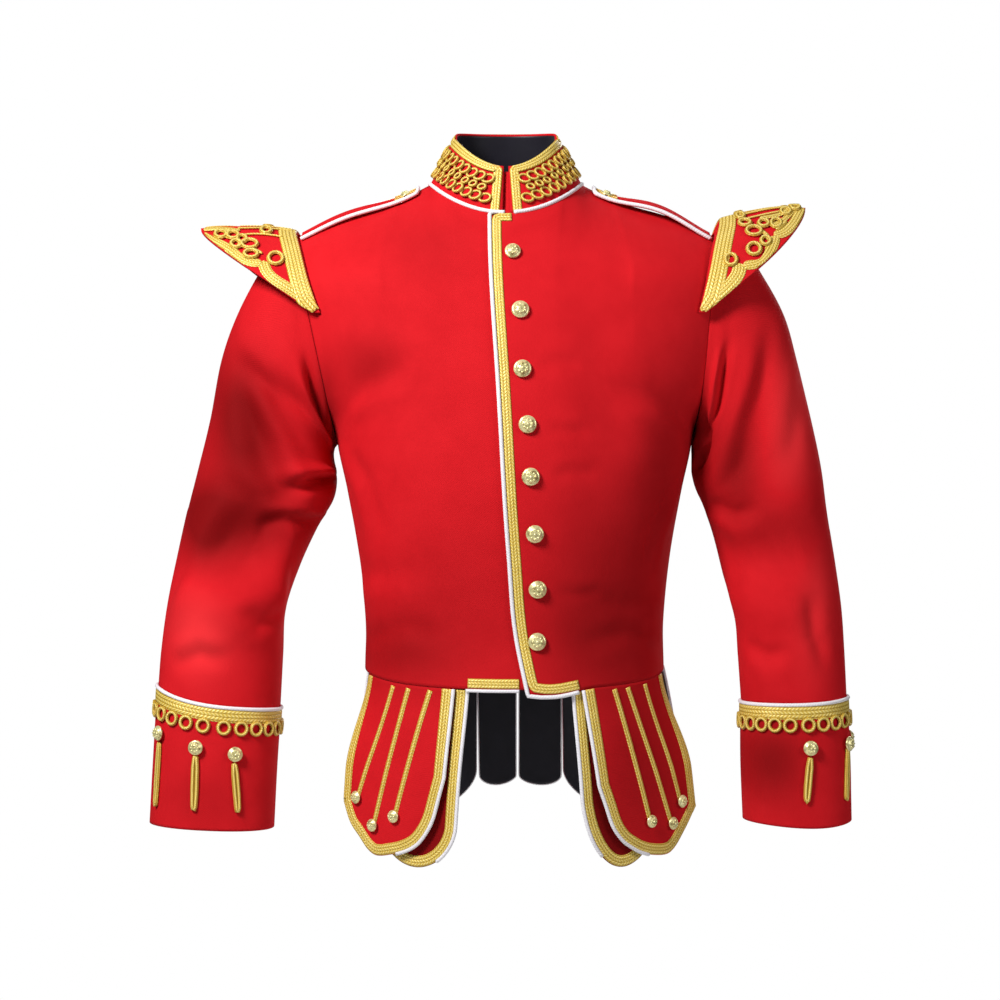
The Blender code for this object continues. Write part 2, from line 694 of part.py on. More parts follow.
# A cord along a line of points
def add_cord(name, points, radius, material, closed=False):
    curve = bpy.data.curves.new(name, "CURVE")
    curve.dimensions = "3D"
    curve.bevel_depth = radius
    curve.bevel_resolution = 1
    curve.use_fill_caps = True
    spline = curve.splines.new("POLY")
    spline.points.add(len(points) - 1)
    for slot, point in zip(spline.points, points):
        slot.co = (*point, 1.0)
    spline.use_cyclic_u = closed
    return add_object(name, curve, material)


# Body panels
def panel_columns(half, name):
    neck = [NECK_SHARE * index / NECK_COLUMNS for index in range(NECK_COLUMNS + 1)]
    step = (1.0 - NECK_SHARE) / SHOULDER_COLUMNS
    shoulder = [NECK_SHARE + step * index for index in range(1, SHOULDER_COLUMNS + 1)]
    columns = [lambda up, value=value: value for value in neck + shoulder]
    if half == "back":
        return columns
    if name == "right":
        under_edge = lambda up: across_at("front", -(front_edge_x(up) + UNDERLAP), up)
        return [under_edge] + columns
    edge = lambda up: across_at("front", front_edge_x(up), up)
    inset = lambda up: mix(BRAID_WIDTH, COLLAR_START, (up / TOP) ** 4)
    braid_edge = lambda up: across_at("front", front_edge_x(up) + inset(up), up)
    first = lambda up: neck[1] * (1.0 + WIDER_AT_WAIST * (1.0 - up / TOP))
    return [edge, braid_edge, first] + columns[2:]


def body_rows():
    below = [ARMPIT * index / ROWS_BELOW_ARMPIT for index in range(ROWS_BELOW_ARMPIT)]
    step = (TOP - ARMPIT) / ROWS_ABOVE_ARMPIT
    return below + [ARMPIT + step * index for index in range(ROWS_ABOVE_ARMPIT + 1)]


def rim_direction(half, side, across, up):
    if abs(across) > 0.999 and up > ARMPIT - 0.001:
        turn = 180.0 * (TOP - up) / (TOP - ARMPIT)
        return armhole_direction(side, turn if half == "front" else 360.0 - turn)
    if abs(across) > 0.999:
        return Vector((side, 0.0, 0.0))
    if up > TOP - 0.001:
        if abs(across) <= NECK_SHARE + 0.001:
            return neck_direction(side, half, across)
        return shoulder_direction(side)
    return panel_normal(half, side, across, up)


# Half of the gap at the side seam, the shoulder seam and the centre back seam
def seam_shift(half, side, across, up):
    shift = Vector((0.0, 0.0, 0.0))
    at_side = abs(across) > 0.999 and up <= ARMPIT + 0.001
    at_shoulder = up > TOP - 0.001 and across >= NECK_SHARE - 0.001
    if at_side or at_shoulder:
        shift.y = -HALF_SIGN[half] * SEAM_GAP / 2.0
    if half == "back" and across < 0.001:
        shift.x = side * SEAM_GAP / 2.0
    return shift


def make_panel(half, name, material):
    side = SIDES[name]
    columns = panel_columns(half, name)
    heights = body_rows()
    rows = []
    for height in heights:
        row = []
        for index, column in enumerate(columns):
            across = column(height)
            up = height
            if half == "front" and index == 0:
                up = height * (TOP - CORNER_DIP) / TOP
            direction = rim_direction(half, side, across, up)
            row.append((panel_point(half, side, across, up) + seam_shift(half, side, across, up), direction))
        rows.append(row)
    return add_wall(f"{half}_{name}", rows, -CLOTH, CLOTH, material)


def make_collar(material):
    step = 360.0 / COLLAR_COLUMNS
    turns = [COLLAR_GAP_DEGREES] + [step * index for index in range(1, COLLAR_COLUMNS // 2 + 1)]
    turns = turns + [-turn for turn in reversed(turns[:-1])]
    heights = (0.0, 0.5, 1.0)
    rows = [[(collar_point(turn, height), collar_direction(turn)) for turn in turns] for height in heights]
    add_wall("collar", rows, -COLLAR_CLOTH, COLLAR_CLOTH, material)
    return turns


def make_collar_braid(turns, material):
    low = turns[0] + COLLAR_BRAID_INSET
    high = turns[0] + COLLAR_BRAID_TURN
    turns = [low, high] + turns[2:-2] + [-high, -low]
    rows = [[(collar_point(turn, height), collar_direction(turn)) for turn in turns] for height in COLLAR_ROWS]
    ends = {(row, column) for row in range(len(COLLAR_ROWS) - 2) for column in (0, len(turns) - 2)}
    top = {(len(COLLAR_ROWS) - 2, column) for column in range(len(turns) - 1)}
    add_wall("collar_braid", rows, TRIM_LIFT, BRAID, material, keep=ends | top)


def make_collar_piping(material):
    step = 360.0 / COLLAR_COLUMNS
    reach = PIPING_RADIUS + SEAM_GAP * 2.0
    points = []
    for index in range(1, COLLAR_COLUMNS):
        degrees = index * step if index <= COLLAR_COLUMNS // 2 else index * step - 360.0
        points.append(collar_base(degrees) + collar_direction(degrees) * reach)
    add_cord("collar_piping", points, PIPING_RADIUS, material)


def sleeve_turns():
    count = 2 * ROWS_ABOVE_ARMPIT
    return [360.0 * index / count for index in range(count)]


def make_sleeve(name, material):
    side = SIDES[name]
    rows = []
    for index in range(SLEEVE_ROWS + 1):
        along = SLEEVE_END * (index / SLEEVE_ROWS) ** 1.1
        row = []
        for degrees in sleeve_turns():
            direction = sleeve_normal(name, along, degrees)
            if index == 0:
                direction = armhole_direction(side, degrees)
            row.append((sleeve_point(name, along, degrees), direction))
        rows.append(row)
    add_wall(f"sleeve_{name}", rows, -CLOTH, CLOTH, material, wrap=True)


def make_cuff(name, material):
    parts = [index / (CUFF_ROWS - 1) for index in range(CUFF_ROWS)]
    turns = sleeve_turns()
    rows = [[(cuff_point(name, part, turn), cuff_normal(name, part, turn)) for turn in turns] for part in parts]
    add_wall(f"cuff_{name}", rows, -CLOTH, CLOTH, material, wrap=True)


def make_cuff_piping(name, material):
    points = []
    for turn in sleeve_turns():
        normal = cuff_normal(name, 0.0, turn)
        points.append(cuff_point(name, 0.0, turn) + normal * (PIPING_RADIUS + SEAM_GAP))
    add_cord(f"cuff_piping_{name}", points, PIPING_RADIUS, material, closed=True)


# Angles of the braid's columns: two for each loop, shifted so that a loop stands over each bar
def cuff_columns(name):
    bars = sorted(turn % 360.0 for turn in CUFF_BARS[name])
    count = 2 * CUFF_LOOPS
    loops = [2 * round((turn / 360.0 * count - 0.5) / 2.0) for turn in bars]
    places = [loops[-1] + 0.5 - count] + [loop + 0.5 for loop in loops] + [loops[0] + 0.5 + count]
    values = [bars[-1] - 360.0] + bars + [bars[0] + 360.0]
    turns = []
    for index in range(count):
        after = next(spot for spot, place in enumerate(places) if place >= index)
        part = (index - places[after - 1]) / (places[after] - places[after - 1])
        turns.append(mix(values[after - 1], values[after], part))
    return turns, [loop % count for loop in loops]


def make_cuff_braid(name, material):
    turns, bars = cuff_columns(name)
    parts = (0.022, CUFF_BAND, CUFF_LOOP_END, 0.46, 0.70, CUFF_BAR_END)
    rows = [[(cuff_point(name, part, turn), cuff_normal(name, part, turn)) for turn in turns] for part in parts]
    count = len(turns)
    band = {(0, column) for column in range(count)}
    loops = {(1, column) for column in range(0, count, 2)}
    lines = {(row, column) for row in range(2, len(parts) - 1) for column in bars}
    add_wall(f"cuff_braid_{name}", rows, TRIM_LIFT, BRAID, material, keep=band | loops | lines, wrap=True)


def make_wing(name, material):
    outs = (0.0, WING_STAND_OUT, 0.25, 0.5, 0.75, 1.0)
    rows = []
    for station in WING_STATIONS:
        rows.append([(wing_point(name, station, out), wing_normal(name, station, out)) for out in outs])
    add_wall(f"wing_{name}", rows, -WING_CLOTH, WING_CLOTH, material)


def make_wing_braid(name, material):
    stations = [station * 0.97 for station in WING_STATIONS]
    rows = []
    for station in stations:
        rows.append([(wing_point(name, station, out), wing_normal(name, station, out)) for out in WING_COLUMNS])
    last_row = len(stations) - 2
    last_column = len(WING_COLUMNS) - 2
    keep = {(row, column) for row in range(last_row + 1) for column in (0, last_column)}
    keep |= {(row, column) for row in (0, last_row) for column in range(last_column + 1)}
    add_wall(f"wing_braid_{name}", rows, TRIM_LIFT, BRAID, material, keep=keep)


def make_strap(name, material):
    parts = [index / (STRAP_STATIONS - 1) for index in range(STRAP_STATIONS)]
    rows = [[strap_point(name, part, crosswise) for crosswise in (-1.0, -0.5, 0.0, 0.5, 1.0)] for part in parts]
    add_wall(f"strap_{name}", rows, TRIM_LIFT, CLOTH, material)


def tash_grid(tash, columns, downs):
    return [[(tash_point(tash, c, d), tash_normal(tash, c, d)) for c in columns] for d in downs]


def has_bars(tash):
    return tash.half == "front" and tash.layer == 0


def tash_lines(tash):
    if has_bars(tash):
        return TASH_COLUMNS, TASH_ROWS
    return PLAIN_TASH_COLUMNS, PLAIN_TASH_ROWS


def make_tash(tash, material):
    add_wall(tash.name, tash_grid(tash, *tash_lines(tash)), -CLOTH, CLOTH, material)


def make_tash_braid(tash, material):
    columns, downs = tash_lines(tash)
    last_row = len(downs) - 2
    last_column = len(columns) - 2
    keep = {(row, column) for row in range(1, last_row) for column in (1, last_column - 1)}
    keep |= {(last_row - 1, column) for column in range(1, last_column)}
    if has_bars(tash):
        keep |= {(row, column) for row in range(1, last_row - 1) for column in TASH_BARS}
    name = tash.name.replace("tash", "tash_braid")
    add_wall(name, tash_grid(tash, columns, downs), TRIM_LIFT, BRAID, material, keep=keep)


# The front edge's line of braid: from the neck down the edge and along the hem
def front_braid_stations():
    heights = [height for height in reversed(body_rows())]
    heights[0] = TOP - 0.010
    stations = []
    for height in heights[:-1]:
        edge = front_edge_x(height)
        stations.append(((edge + BRAID_INSET, height), (edge + BRAID_WIDTH - SEAM_GAP, height)))
    low = HEM_INSET
    high = low + BRAID_WIDTH
    edge = front_edge_x(0.0)
    stations.append(((edge + BRAID_INSET, low), (edge + BRAID_WIDTH - SEAM_GAP, high)))
    for distance in (0.023, 0.036, 0.050):
        stations.append(((edge + distance, low), (edge + distance, high)))
    return stations


def front_surface(side, x, up):
    across = across_at("front", x, up)
    return front_point(side, across, up), panel_normal("front", side, across, up)


def make_front_braid(material):
    rows = [[front_surface(1, *place) for place in station] for station in front_braid_stations()]
    add_wall("front_braid", rows, TRIM_LIFT, BRAID, material)


def make_front_piping(material):
    reach = PIPING_RADIUS + SEAM_GAP
    points = []
    for height in reversed(body_rows()):
        up = height * (TOP - CORNER_DIP) / TOP
        place = front_edge_x(height) - reach
        point, normal = front_surface(1, place, up)
        points.append(point - normal * SEAM_GAP)
    edge = front_edge_x(0.0)
    for distance in (0.0, 0.016, 0.032, 0.047):
        point, normal = front_surface(1, edge + distance, 0.0)
        points.append(point - normal * SEAM_GAP + Vector((0.0, 0.0, -reach)))
    add_cord("front_piping", points, PIPING_RADIUS, material)


# The bar of braid on the right front's hem, in sight between the lap and the tash
def make_hem_braid(material):
    rows = []
    for distance in (-0.004, 0.010, 0.024, 0.038, 0.048):
        rows.append([front_surface(-1, distance, up) for up in (HEM_INSET, HEM_INSET + BRAID_WIDTH)])
    add_wall("hem_braid_right", rows, TRIM_LIFT, BRAID, material)


# Half outline of a button, from the crown down to the shank's foot
def button_mesh(radius, shank):
    profile = (
        (0.0, shank + radius * 0.62),
        (radius * 0.70, shank + radius * 0.44),
        (radius, shank),
        (radius * 0.28, shank),
        (radius * 0.28, 0.0),
        (0.0, 0.0),
    )
    mesh = bpy.data.meshes.new("button")
    shape = bmesh.new()
    verts = [shape.verts.new((x, 0.0, z)) for x, z in profile]
    for first, second in zip(verts, verts[1:]):
        shape.edges.new((first, second))
    shape.to_mesh(mesh)
    shape.free()
    return mesh


def add_button(name, mesh, point, normal, lift):
    piece = bpy.data.objects.new(name, mesh)
    collection.objects.link(piece)
    turn = normal.to_track_quat("Z", "Y")
    piece.matrix_world = Matrix.Translation(point + normal * lift) @ turn.to_matrix().to_4x4()
    screw = piece.modifiers.new("Turned", "SCREW")
    screw.steps = BUTTON_STEPS
    screw.render_steps = BUTTON_STEPS
    screw.use_merge_vertices = True
    screw.merge_threshold = 0.00001
    return piece


def make_buttons(material):
    front_mesh = button_mesh(BUTTON_RADIUS, BUTTON_SHANK)
    small_mesh = button_mesh(SMALL_BUTTON_RADIUS, SMALL_BUTTON_SHANK)
    cuff_mesh = button_mesh(CUFF_BUTTON_RADIUS, SMALL_BUTTON_SHANK)
    for mesh in (front_mesh, small_mesh, cuff_mesh):
        mesh.materials.append(material)
    for index, place in enumerate(FRONT_BUTTONS):
        point, normal = front_surface(1, front_edge_x(place.up) + place.inset, place.up)
        add_button(f"button_front_{index + 1}", front_mesh, point, normal, TRIM_LIFT * 1.2)
    for name in SIDES:
        point, normal = strap_point(name, STRAP_BUTTON_PART, STRAP_BUTTON_CROSSWISE)
        add_button(f"button_strap_{name}", small_mesh, point, normal, TRIM_LIFT + CLOTH + SEAM_GAP * 2.0)
        for index, turn in enumerate(CUFF_BARS[name]):
            normal = cuff_normal(name, CUFF_BUTTONS[name][index], turn)
            point = cuff_point(name, CUFF_BUTTONS[name][index], turn)
            add_button(f"button_cuff_{name}_{index + 1}", cuff_mesh, point, normal, TRIM_LIFT + BRAID + SEAM_GAP)
    for tash in TASHES[:2]:
        for index, bar in enumerate(TASH_BARS):
            crosswise = (TASH_COLUMNS[bar] + TASH_COLUMNS[bar + 1]) / 2.0
            normal = tash_normal(tash, crosswise, TASH_BUTTON_DOWN)
            point = tash_point(tash, crosswise, TASH_BUTTON_DOWN)
            name = f"button_{tash.name}_{index + 1}"
            add_button(name, small_mesh, point, normal, TRIM_LIFT + BRAID + SEAM_GAP)


for old in list(bpy.data.objects):
    bpy.data.objects.remove(old, do_unlink=True)
collection = bpy.data.collections.new("pipe_band_doublet")
bpy.context.scene.collection.children.link(collection)

red_cloth = make_material("red_cloth", (0.62, 0.010, 0.020), 0.85, 0.0)
gold_braid = make_material("gold_braid", (0.70, 0.45, 0.10), 0.45, 0.6)
white_piping = make_material("white_piping", (0.90, 0.88, 0.90), 0.70, 0.0)
brass = make_material("brass", (0.80, 0.58, 0.22), 0.30, 1.0)

for panel_half in ("front", "back"):
    for side_name in SIDES:
        make_panel(panel_half, side_name, red_cloth)
collar_turns = make_collar(red_cloth)
make_collar_braid(collar_turns, gold_braid)
make_collar_piping(white_piping)
for side_name in SIDES:
    make_sleeve(side_name, red_cloth)
    make_cuff(side_name, red_cloth)
    make_cuff_piping(side_name, white_piping)
    make_cuff_braid(side_name, gold_braid)
    make_wing(side_name, red_cloth)
    make_wing_braid(side_name, gold_braid)
    make_strap(side_name, red_cloth)
for skirt_tash in TASHES:
    make_tash(skirt_tash, red_cloth)
for skirt_tash in TASHES[:4]:
    make_tash_braid(skirt_tash, gold_braid)
make_front_braid(gold_braid)
make_front_piping(white_piping)
make_hem_braid(gold_braid)
make_buttons(brass)
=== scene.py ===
import math

import bmesh
import bpy
import numpy as np
from mathutils import Matrix, Vector


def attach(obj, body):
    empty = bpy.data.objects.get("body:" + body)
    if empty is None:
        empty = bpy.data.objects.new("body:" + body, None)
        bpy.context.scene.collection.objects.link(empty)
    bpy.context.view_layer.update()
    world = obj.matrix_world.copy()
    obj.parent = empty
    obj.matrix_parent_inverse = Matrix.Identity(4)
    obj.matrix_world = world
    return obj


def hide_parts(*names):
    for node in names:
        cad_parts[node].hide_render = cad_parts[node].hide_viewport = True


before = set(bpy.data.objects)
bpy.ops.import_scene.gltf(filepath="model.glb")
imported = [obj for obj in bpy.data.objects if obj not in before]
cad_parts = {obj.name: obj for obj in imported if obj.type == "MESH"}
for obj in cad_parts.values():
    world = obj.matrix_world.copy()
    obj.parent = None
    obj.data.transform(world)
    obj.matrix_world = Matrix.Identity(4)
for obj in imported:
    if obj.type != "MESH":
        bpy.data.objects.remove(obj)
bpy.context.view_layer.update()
print("frame loaded:", len(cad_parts), "solids")


# ---- shape of the doublet: metres, or millimetres in tables that say so; front to -Y, wearer's left to +X ----
# across: 0 centre line to 1 side seam or armhole. up: 0 waist seam to bodyCut["top"] at neck and shoulder

def metres(rows):
    return np.array(rows) / 1000.0


bodyCut = {
    "armpit": 0.252, "top": 0.5, "squareness": 2.3, "lean": 0.009, "leanTop": 0.05, "leanFull": 0.27,
    # up, front z, front y, back z, back y, edge x, edge y, edge z
    "rows": metres((
        (0, -524.5, -126, -515, 98, 159.5, 4, -508.5), (55, -470, -121, -465, 89, 159, 4, -460),
        (130, -395, -128, -392, 96, 166, 4, -390), (200, -325, -135, -320, 109, 178, 2, -322),
        (252, -270, -136, -264, 116.5, 188.4, 0, -272.5), (320, -200, -130, -190, 118, 195.3, 57.5, -226.8),
        (375, -138, -118, -125, 110, 205.8, 70, -157.6), (425, -85, -100, -65, 94, 215.1, 56.6, -96.2),
    )),
    "turns": (90, 90, 90, 90, 90, 66, 62, 60),
}
neckCut = {
    "share": 0.32, "halfWidth": 0.0813, "sideZ": 0.005, "curve": 1.7,
    "depth": {"front": 0.078, "back": 0.062}, "rise": {"front": -0.04, "back": 0.017},
    "tip": (0.222, 0.0, -0.0505), "sag": 0.003,
    "neckSlope": {"front": (0.0, 0.45, 0.9), "back": (0.0, -0.35, 0.94)},
    "shoulderSlope": {"front": (0.0, 0.93, 0.36), "back": (0.0, -0.96, -0.29)},
}
lapCut = {
    "rise": 0.0026, "drop": 0.006, "dropUp": 0.06, "flat": 0.036, "end": 0.085, "under": 0.033,
    "edgeUp": (0.0, 0.06, 0.13, 0.2, 0.29, 0.5), "edgeX": (0.0145, 0.0015, -0.0045, -0.0095, -0.014, -0.0155),
}
sideOf = {"right": -1, "left": 1}
halfSign = {"front": 1, "back": -1}
gap = 0.0004
turn = 2.0 * math.pi


def mix(first, second, part):
    return first + (second - first) * part


def smoothStep(low, high, value):
    part = np.clip((value - low) / (high - low), 0.0, 1.0)
    return part * part * (3.0 - 2.0 * part)


def unit(vectors):
    return vectors / (np.linalg.norm(vectors, axis=-1, keepdims=True) + 1e-12)


def joined(*columns):
    return np.stack(columns, axis=-1)


def lengthsAlong(points):
    return np.concatenate([[0.0], np.cumsum(np.linalg.norm(np.diff(points, axis=0), axis=1))])


# the last two values given to such a function may be single numbers or many
def many(work):
    def asked(*values):
        first, second = np.broadcast_arrays(*(np.asarray(value, float) for value in values[-2:]))
        return work(*values[:-2], first.ravel().copy(), second.ravel().copy())
    return asked


# smooth curve through values (one layer for each place), read at a place of its own for each point
def curveThrough(places, values, at, lastSlope=None):
    places = np.asarray(places, float)
    last = len(places) - 1
    before = np.maximum(np.arange(last + 1) - 1, 0)
    after = np.minimum(np.arange(last + 1) + 1, last)
    shape = (-1,) + (1,) * (values.ndim - 1)
    slopes = (values[after] - values[before]) / (places[after] - places[before]).reshape(shape)
    if lastSlope is not None:
        slopes[last] = lastSlope
    low = np.clip(np.searchsorted(places, at, side="left") - 1, 0, last - 1)
    point = np.arange(len(at))
    shape = (-1,) + (1,) * (values.ndim - 2)
    span = (places[low + 1] - places[low]).reshape(shape)
    t = (at - places[low]).reshape(shape) / span
    start = values[low, point] * (2.0 * t**3 - 3.0 * t**2 + 1.0)
    leave = slopes[low, point] * ((t**3 - 2.0 * t**2 + t) * span)
    finish = values[low + 1, point] * (3.0 * t**2 - 2.0 * t**3)
    arrive = slopes[low + 1, point] * ((t**3 - t**2) * span)
    return start + leave + finish + arrive


def numbersThrough(places, values, at):
    return curveThrough(places, np.repeat(np.array(values)[:, None], len(at), axis=1), at)


# directions outward from a surface, found from points a step to each side
def normalsOf(surface, keys, first, second, sign, step=0.003, scale=1.0):
    beside = step * scale
    alongFirst = surface(*keys, first + step, second) - surface(*keys, first - step, second)
    alongSecond = surface(*keys, first, second + beside) - surface(*keys, first, second - beside)
    return unit(np.cross(alongFirst, alongSecond)) * sign


# a surface and its directions outward, for one piece
def faceOf(pointAt, normalAt, *keys):
    return lambda a, b: pointAt(*keys, a, b), lambda a, b: normalAt(*keys, a, b)


# points put together from groups that are worked out apart
def inGroups(keys, make):
    keys = np.asarray(keys)
    out = np.zeros((len(keys), 3))
    for key in np.unique(keys):
        out[keys == key] = make(key, keys == key)
    return out


def leanOf(z):
    return bodyCut["lean"] * smoothStep(bodyCut["leanTop"], bodyCut["leanFull"], -z)


def sectionPoint(half, row, turned, across):
    up, frontZ, frontY, backZ, backY, edgeX, edgeY, edgeZ = row
    centreZ, centreY = (frontZ, frontY) if half == "front" else (backZ, backY)
    if up > bodyCut["armpit"]:
        edgeY = -halfSign[half] * edgeY
    power = 2.0 / bodyCut["squareness"]
    end = math.radians(turned)
    endCosine = max(0.0, math.cos(end)) ** power
    out = (np.sin(end * across) / math.sin(end)) ** power
    depth = (np.maximum(0.0, np.cos(end * across)) ** power - endCosine) / (1.0 - endCosine)
    return joined(edgeX * out, mix(edgeY, centreY, depth), mix(centreZ, edgeZ, across * across))


def topPoint(half, across):
    angle = np.radians(90.0) * np.minimum(across / neckCut["share"], 1.0)
    cosine = np.maximum(0.0, np.cos(angle))
    y = -halfSign[half] * neckCut["depth"][half] * cosine
    z = neckCut["sideZ"] + neckCut["rise"][half] * cosine ** neckCut["curve"]
    neck = joined(neckCut["halfWidth"] * np.sin(angle), y, z)
    part = np.clip((across - neckCut["share"]) / (1.0 - neckCut["share"]), 0.0, 1.1)[:, None]
    shoulder = mix(np.array([neckCut["halfWidth"], 0.0, neckCut["sideZ"]]), np.array(neckCut["tip"]), part)
    shoulder[:, 2] -= neckCut["sag"] * np.sin(turn * part[:, 0])
    return np.where((across <= neckCut["share"])[:, None], neck, shoulder)


@many
def bodyPoint(half, side, across, up):
    reach = np.abs(across)
    places = np.append(bodyCut["rows"][:, 0], bodyCut["top"])
    rows = zip(bodyCut["rows"], bodyCut["turns"])
    points = np.array([sectionPoint(half, row, turned, reach) for row, turned in rows] + [topPoint(half, reach)])
    fade = np.where(up < bodyCut["armpit"], 1.0 - smoothStep(0.5, 1.0, reach), 1.0)
    points[places > bodyCut["armpit"], :, 1] *= fade
    part = smoothStep(0.0, neckCut["share"], reach)[:, None]
    slope = mix(np.array(neckCut["neckSlope"][half]), np.array(neckCut["shoulderSlope"][half]), part)
    slope = slope * (np.linalg.norm(points[-1] - points[-2], axis=-1) / (places[-1] - places[-2]))[:, None]
    point = curveThrough(places, points, up, slope)
    point[:, 0] = side * np.copysign(point[:, 0], across) + leanOf(point[:, 2])
    return point


@many
def panelPoint(half, side, across, up):
    point = bodyPoint(half, side, across, up)
    if half == "front" and side > 0:  # the left front stands out over the right one near its edge
        near = 1.0 - smoothStep(lapCut["flat"], lapCut["end"], point[:, 0] - leanOf(point[:, 2]))
        point[:, 1] -= lapCut["rise"] * near
        point[:, 2] -= lapCut["drop"] * near * np.maximum(0.0, 1.0 - up / lapCut["dropUp"])
    return point


@many
def panelNormal(half, side, across, up):
    across, up = np.clip(across, -0.99, 0.99), np.minimum(up, bodyCut["top"] - 0.004)
    return normalsOf(panelPoint, (half, side), across, up, side * halfSign[half])


# the across value whose point lies at distance x from the centre line
@many
def acrossAt(half, x, up):
    low, high = np.zeros(len(x)), np.ones(len(x))
    for step in range(20):
        middle = (low + high) / 2.0
        point = bodyPoint(half, 1, middle, up)
        inside = point[:, 0] - leanOf(point[:, 2]) < np.abs(x)
        low, high = np.where(inside, middle, low), np.where(inside, high, middle)
    return np.copysign((low + high) / 2.0, x)


def frontEdgeX(up):
    return numbersThrough(lapCut["edgeUp"], lapCut["edgeX"], np.atleast_1d(np.asarray(up, float)))


def frontFace(side):
    return faceOf(
        lambda x, up: panelPoint("front", side, acrossAt("front", x, up), up),
        lambda x, up: panelNormal("front", side, acrossAt("front", x, up), up),
    )


# points of the body lifted off it, on the front where isFront says so and on the back elsewhere
def seated(side, isFront, across, up, lift):
    def seat(key, chosen):
        place = ("front" if key else "back", side, across[chosen], up[chosen])
        return bodyPoint(*place) + panelNormal(*place) * lift
    return inGroups(isFront, seat)


def armholePoint(side, degrees):
    round = np.asarray(degrees, float) % 360.0
    isFront = round <= 180.0
    top, armpit = bodyCut["top"], bodyCut["armpit"]
    up = np.where(isFront, mix(top, armpit, round / 180.0), mix(armpit, top, (round - 180.0) / 180.0))
    return inGroups(isFront, lambda key, chosen: bodyPoint("front" if key else "back", side, 1.0, up[chosen]))


def armholeAxis(side):
    ends = armholePoint(side, np.array([0.0, 180.0]))
    drop = ends[1] - ends[0]
    return unit(np.array([-drop[2] * side, 0.0, drop[0] * side]))


# ---- sleeves and cuffs: rings from the shoulder to the wrist ----

sleeveCut = {
    "end": 0.45, "squareness": 2.2, "armRadius": 0.064,
    # along, outer x, outer z, inner x, inner z, half depth, middle y
    "right": metres((
        (30, 246, -64, 183.5, -277, 70, 0), (55, 267, -96, 184.5, -283, 70, 0),
        (90, 289, -140, 183.8, -290.5, 70, 0), (125, 304, -185, 182, -299, 70, 0),
        (165, 315, -245, 180.8, -313, 69, -2), (210, 328, -300, 185, -333, 68, -5),
        (260, 340, -350, 201, -360, 65, -10), (310, 350, -400, 220, -402, 62, -16),
        (360, 358.5, -445, 234, -448, 59, -22), (410, 364, -490, 236, -495, 56, -27),
        (450, 366.5, -526, 238.6, -551, 54, -30),
    )),
    "left": metres((
        (30, 252, -62, 199, -279, 70, 0), (55, 274, -93, 199, -286, 70, 0),
        (90, 296.5, -135, 198.8, -295, 69, 0), (125, 309.5, -180, 199.2, -305, 68, 0),
        (165, 323.8, -240, 203, -320, 67, -2), (210, 335, -295, 211, -338, 66, -5),
        (260, 341, -345, 219.5, -365, 63, -10), (310, 349, -400, 230, -408, 60, -16),
        (360, 354.5, -445, 242.5, -452, 57, -22), (410, 357, -490, 245.5, -496, 54, -27),
        (450, 359, -538.5, 248.6, -544, 52, -30),
    )),
}
cuffCut = {
    "right": metres((
        (0, 367.8, -526.6, 237.8, -551.6, 55, -30), (70, 371.5, -598, 241.5, -612, 54, -33),
        (140, 375, -670, 244.5, -676, 53, -36),
    )),
    "left": metres((
        (0, 360.2, -539.1, 247.8, -544.6, 53, -30), (65, 362.5, -603, 247.5, -605, 52, -33),
        (130, 363.5, -667, 249.5, -667, 51, -36),
    )),
    # how far the top edge and the hem hang between their sides
    "sag": {"right": (0.006, 0.0), "left": (0.002, 0.004)}, "sagSkew": 0.6, "sagFrom": 0.3,
}


def ringPoint(row, side, degrees, sag=0.0):
    along, outerX, outerZ, innerX, innerZ, halfDepth, middleY = row
    angle = np.radians(degrees)
    power = 2.0 / sleeveCut["squareness"]
    out = np.copysign(np.abs(np.cos(angle)) ** power, np.cos(angle))
    forward = np.copysign(np.abs(np.sin(angle)) ** power, np.sin(angle))
    x = (outerX + innerX) / 2.0 + (outerX - innerX) / 2.0 * out
    z = (outerZ + innerZ) / 2.0 + (outerZ - innerZ) / 2.0 * out
    z -= sag * (1.0 - out**2) * (1.0 + cuffCut["sagSkew"] * out)
    return joined(side * x, middleY - halfDepth * forward, z)


@many
def sleevePoint(name, along, degrees):
    side = sideOf[name]
    points = [armholePoint(side, degrees) + armholeAxis(side) * gap]
    for row in sleeveCut[name]:
        sag = cuffCut["sag"][name][0] * smoothStep(cuffCut["sagFrom"], sleeveCut["end"], row[0])
        points.append(ringPoint(row, side, degrees, sag))
    return curveThrough(np.append(0.0, sleeveCut[name][:, 0]), np.array(points), along)


@many
def sleeveNormal(name, along, degrees):
    along = np.clip(along, 0.004, sleeveCut["end"] - 0.004)
    return normalsOf(sleevePoint, (name,), along, degrees, -sideOf[name], scale=100.0)


@many
def cuffPoint(name, part, degrees):
    rows, side, sag = cuffCut[name], sideOf[name], cuffCut["sag"][name]
    parts = rows[:, 0] / rows[-1, 0]
    points = [ringPoint(row, side, degrees, mix(*sag, place)) for row, place in zip(rows, parts)]
    return curveThrough(parts, np.array(points), part)


@many
def cuffNormal(name, part, degrees):
    return normalsOf(cuffPoint, (name,), part, degrees, -sideOf[name], scale=100.0)


# ---- collar: degrees from the centre front round the wearer's left (90) and right (-90) ----

collarCut = {
    "halfWidth": 0.0546, "depth": {"front": 0.062, "back": 0.048}, "sideZ": 0.053,
    "rise": {"front": -0.037, "back": 0.013}, "curve": {"front": 1.7, "back": 0.35},
    "tilt": 0.6, "opening": 2.6, "seam": 0.00052,
}
collarLevel = math.sqrt(1.0 - collarCut["tilt"] ** 2)


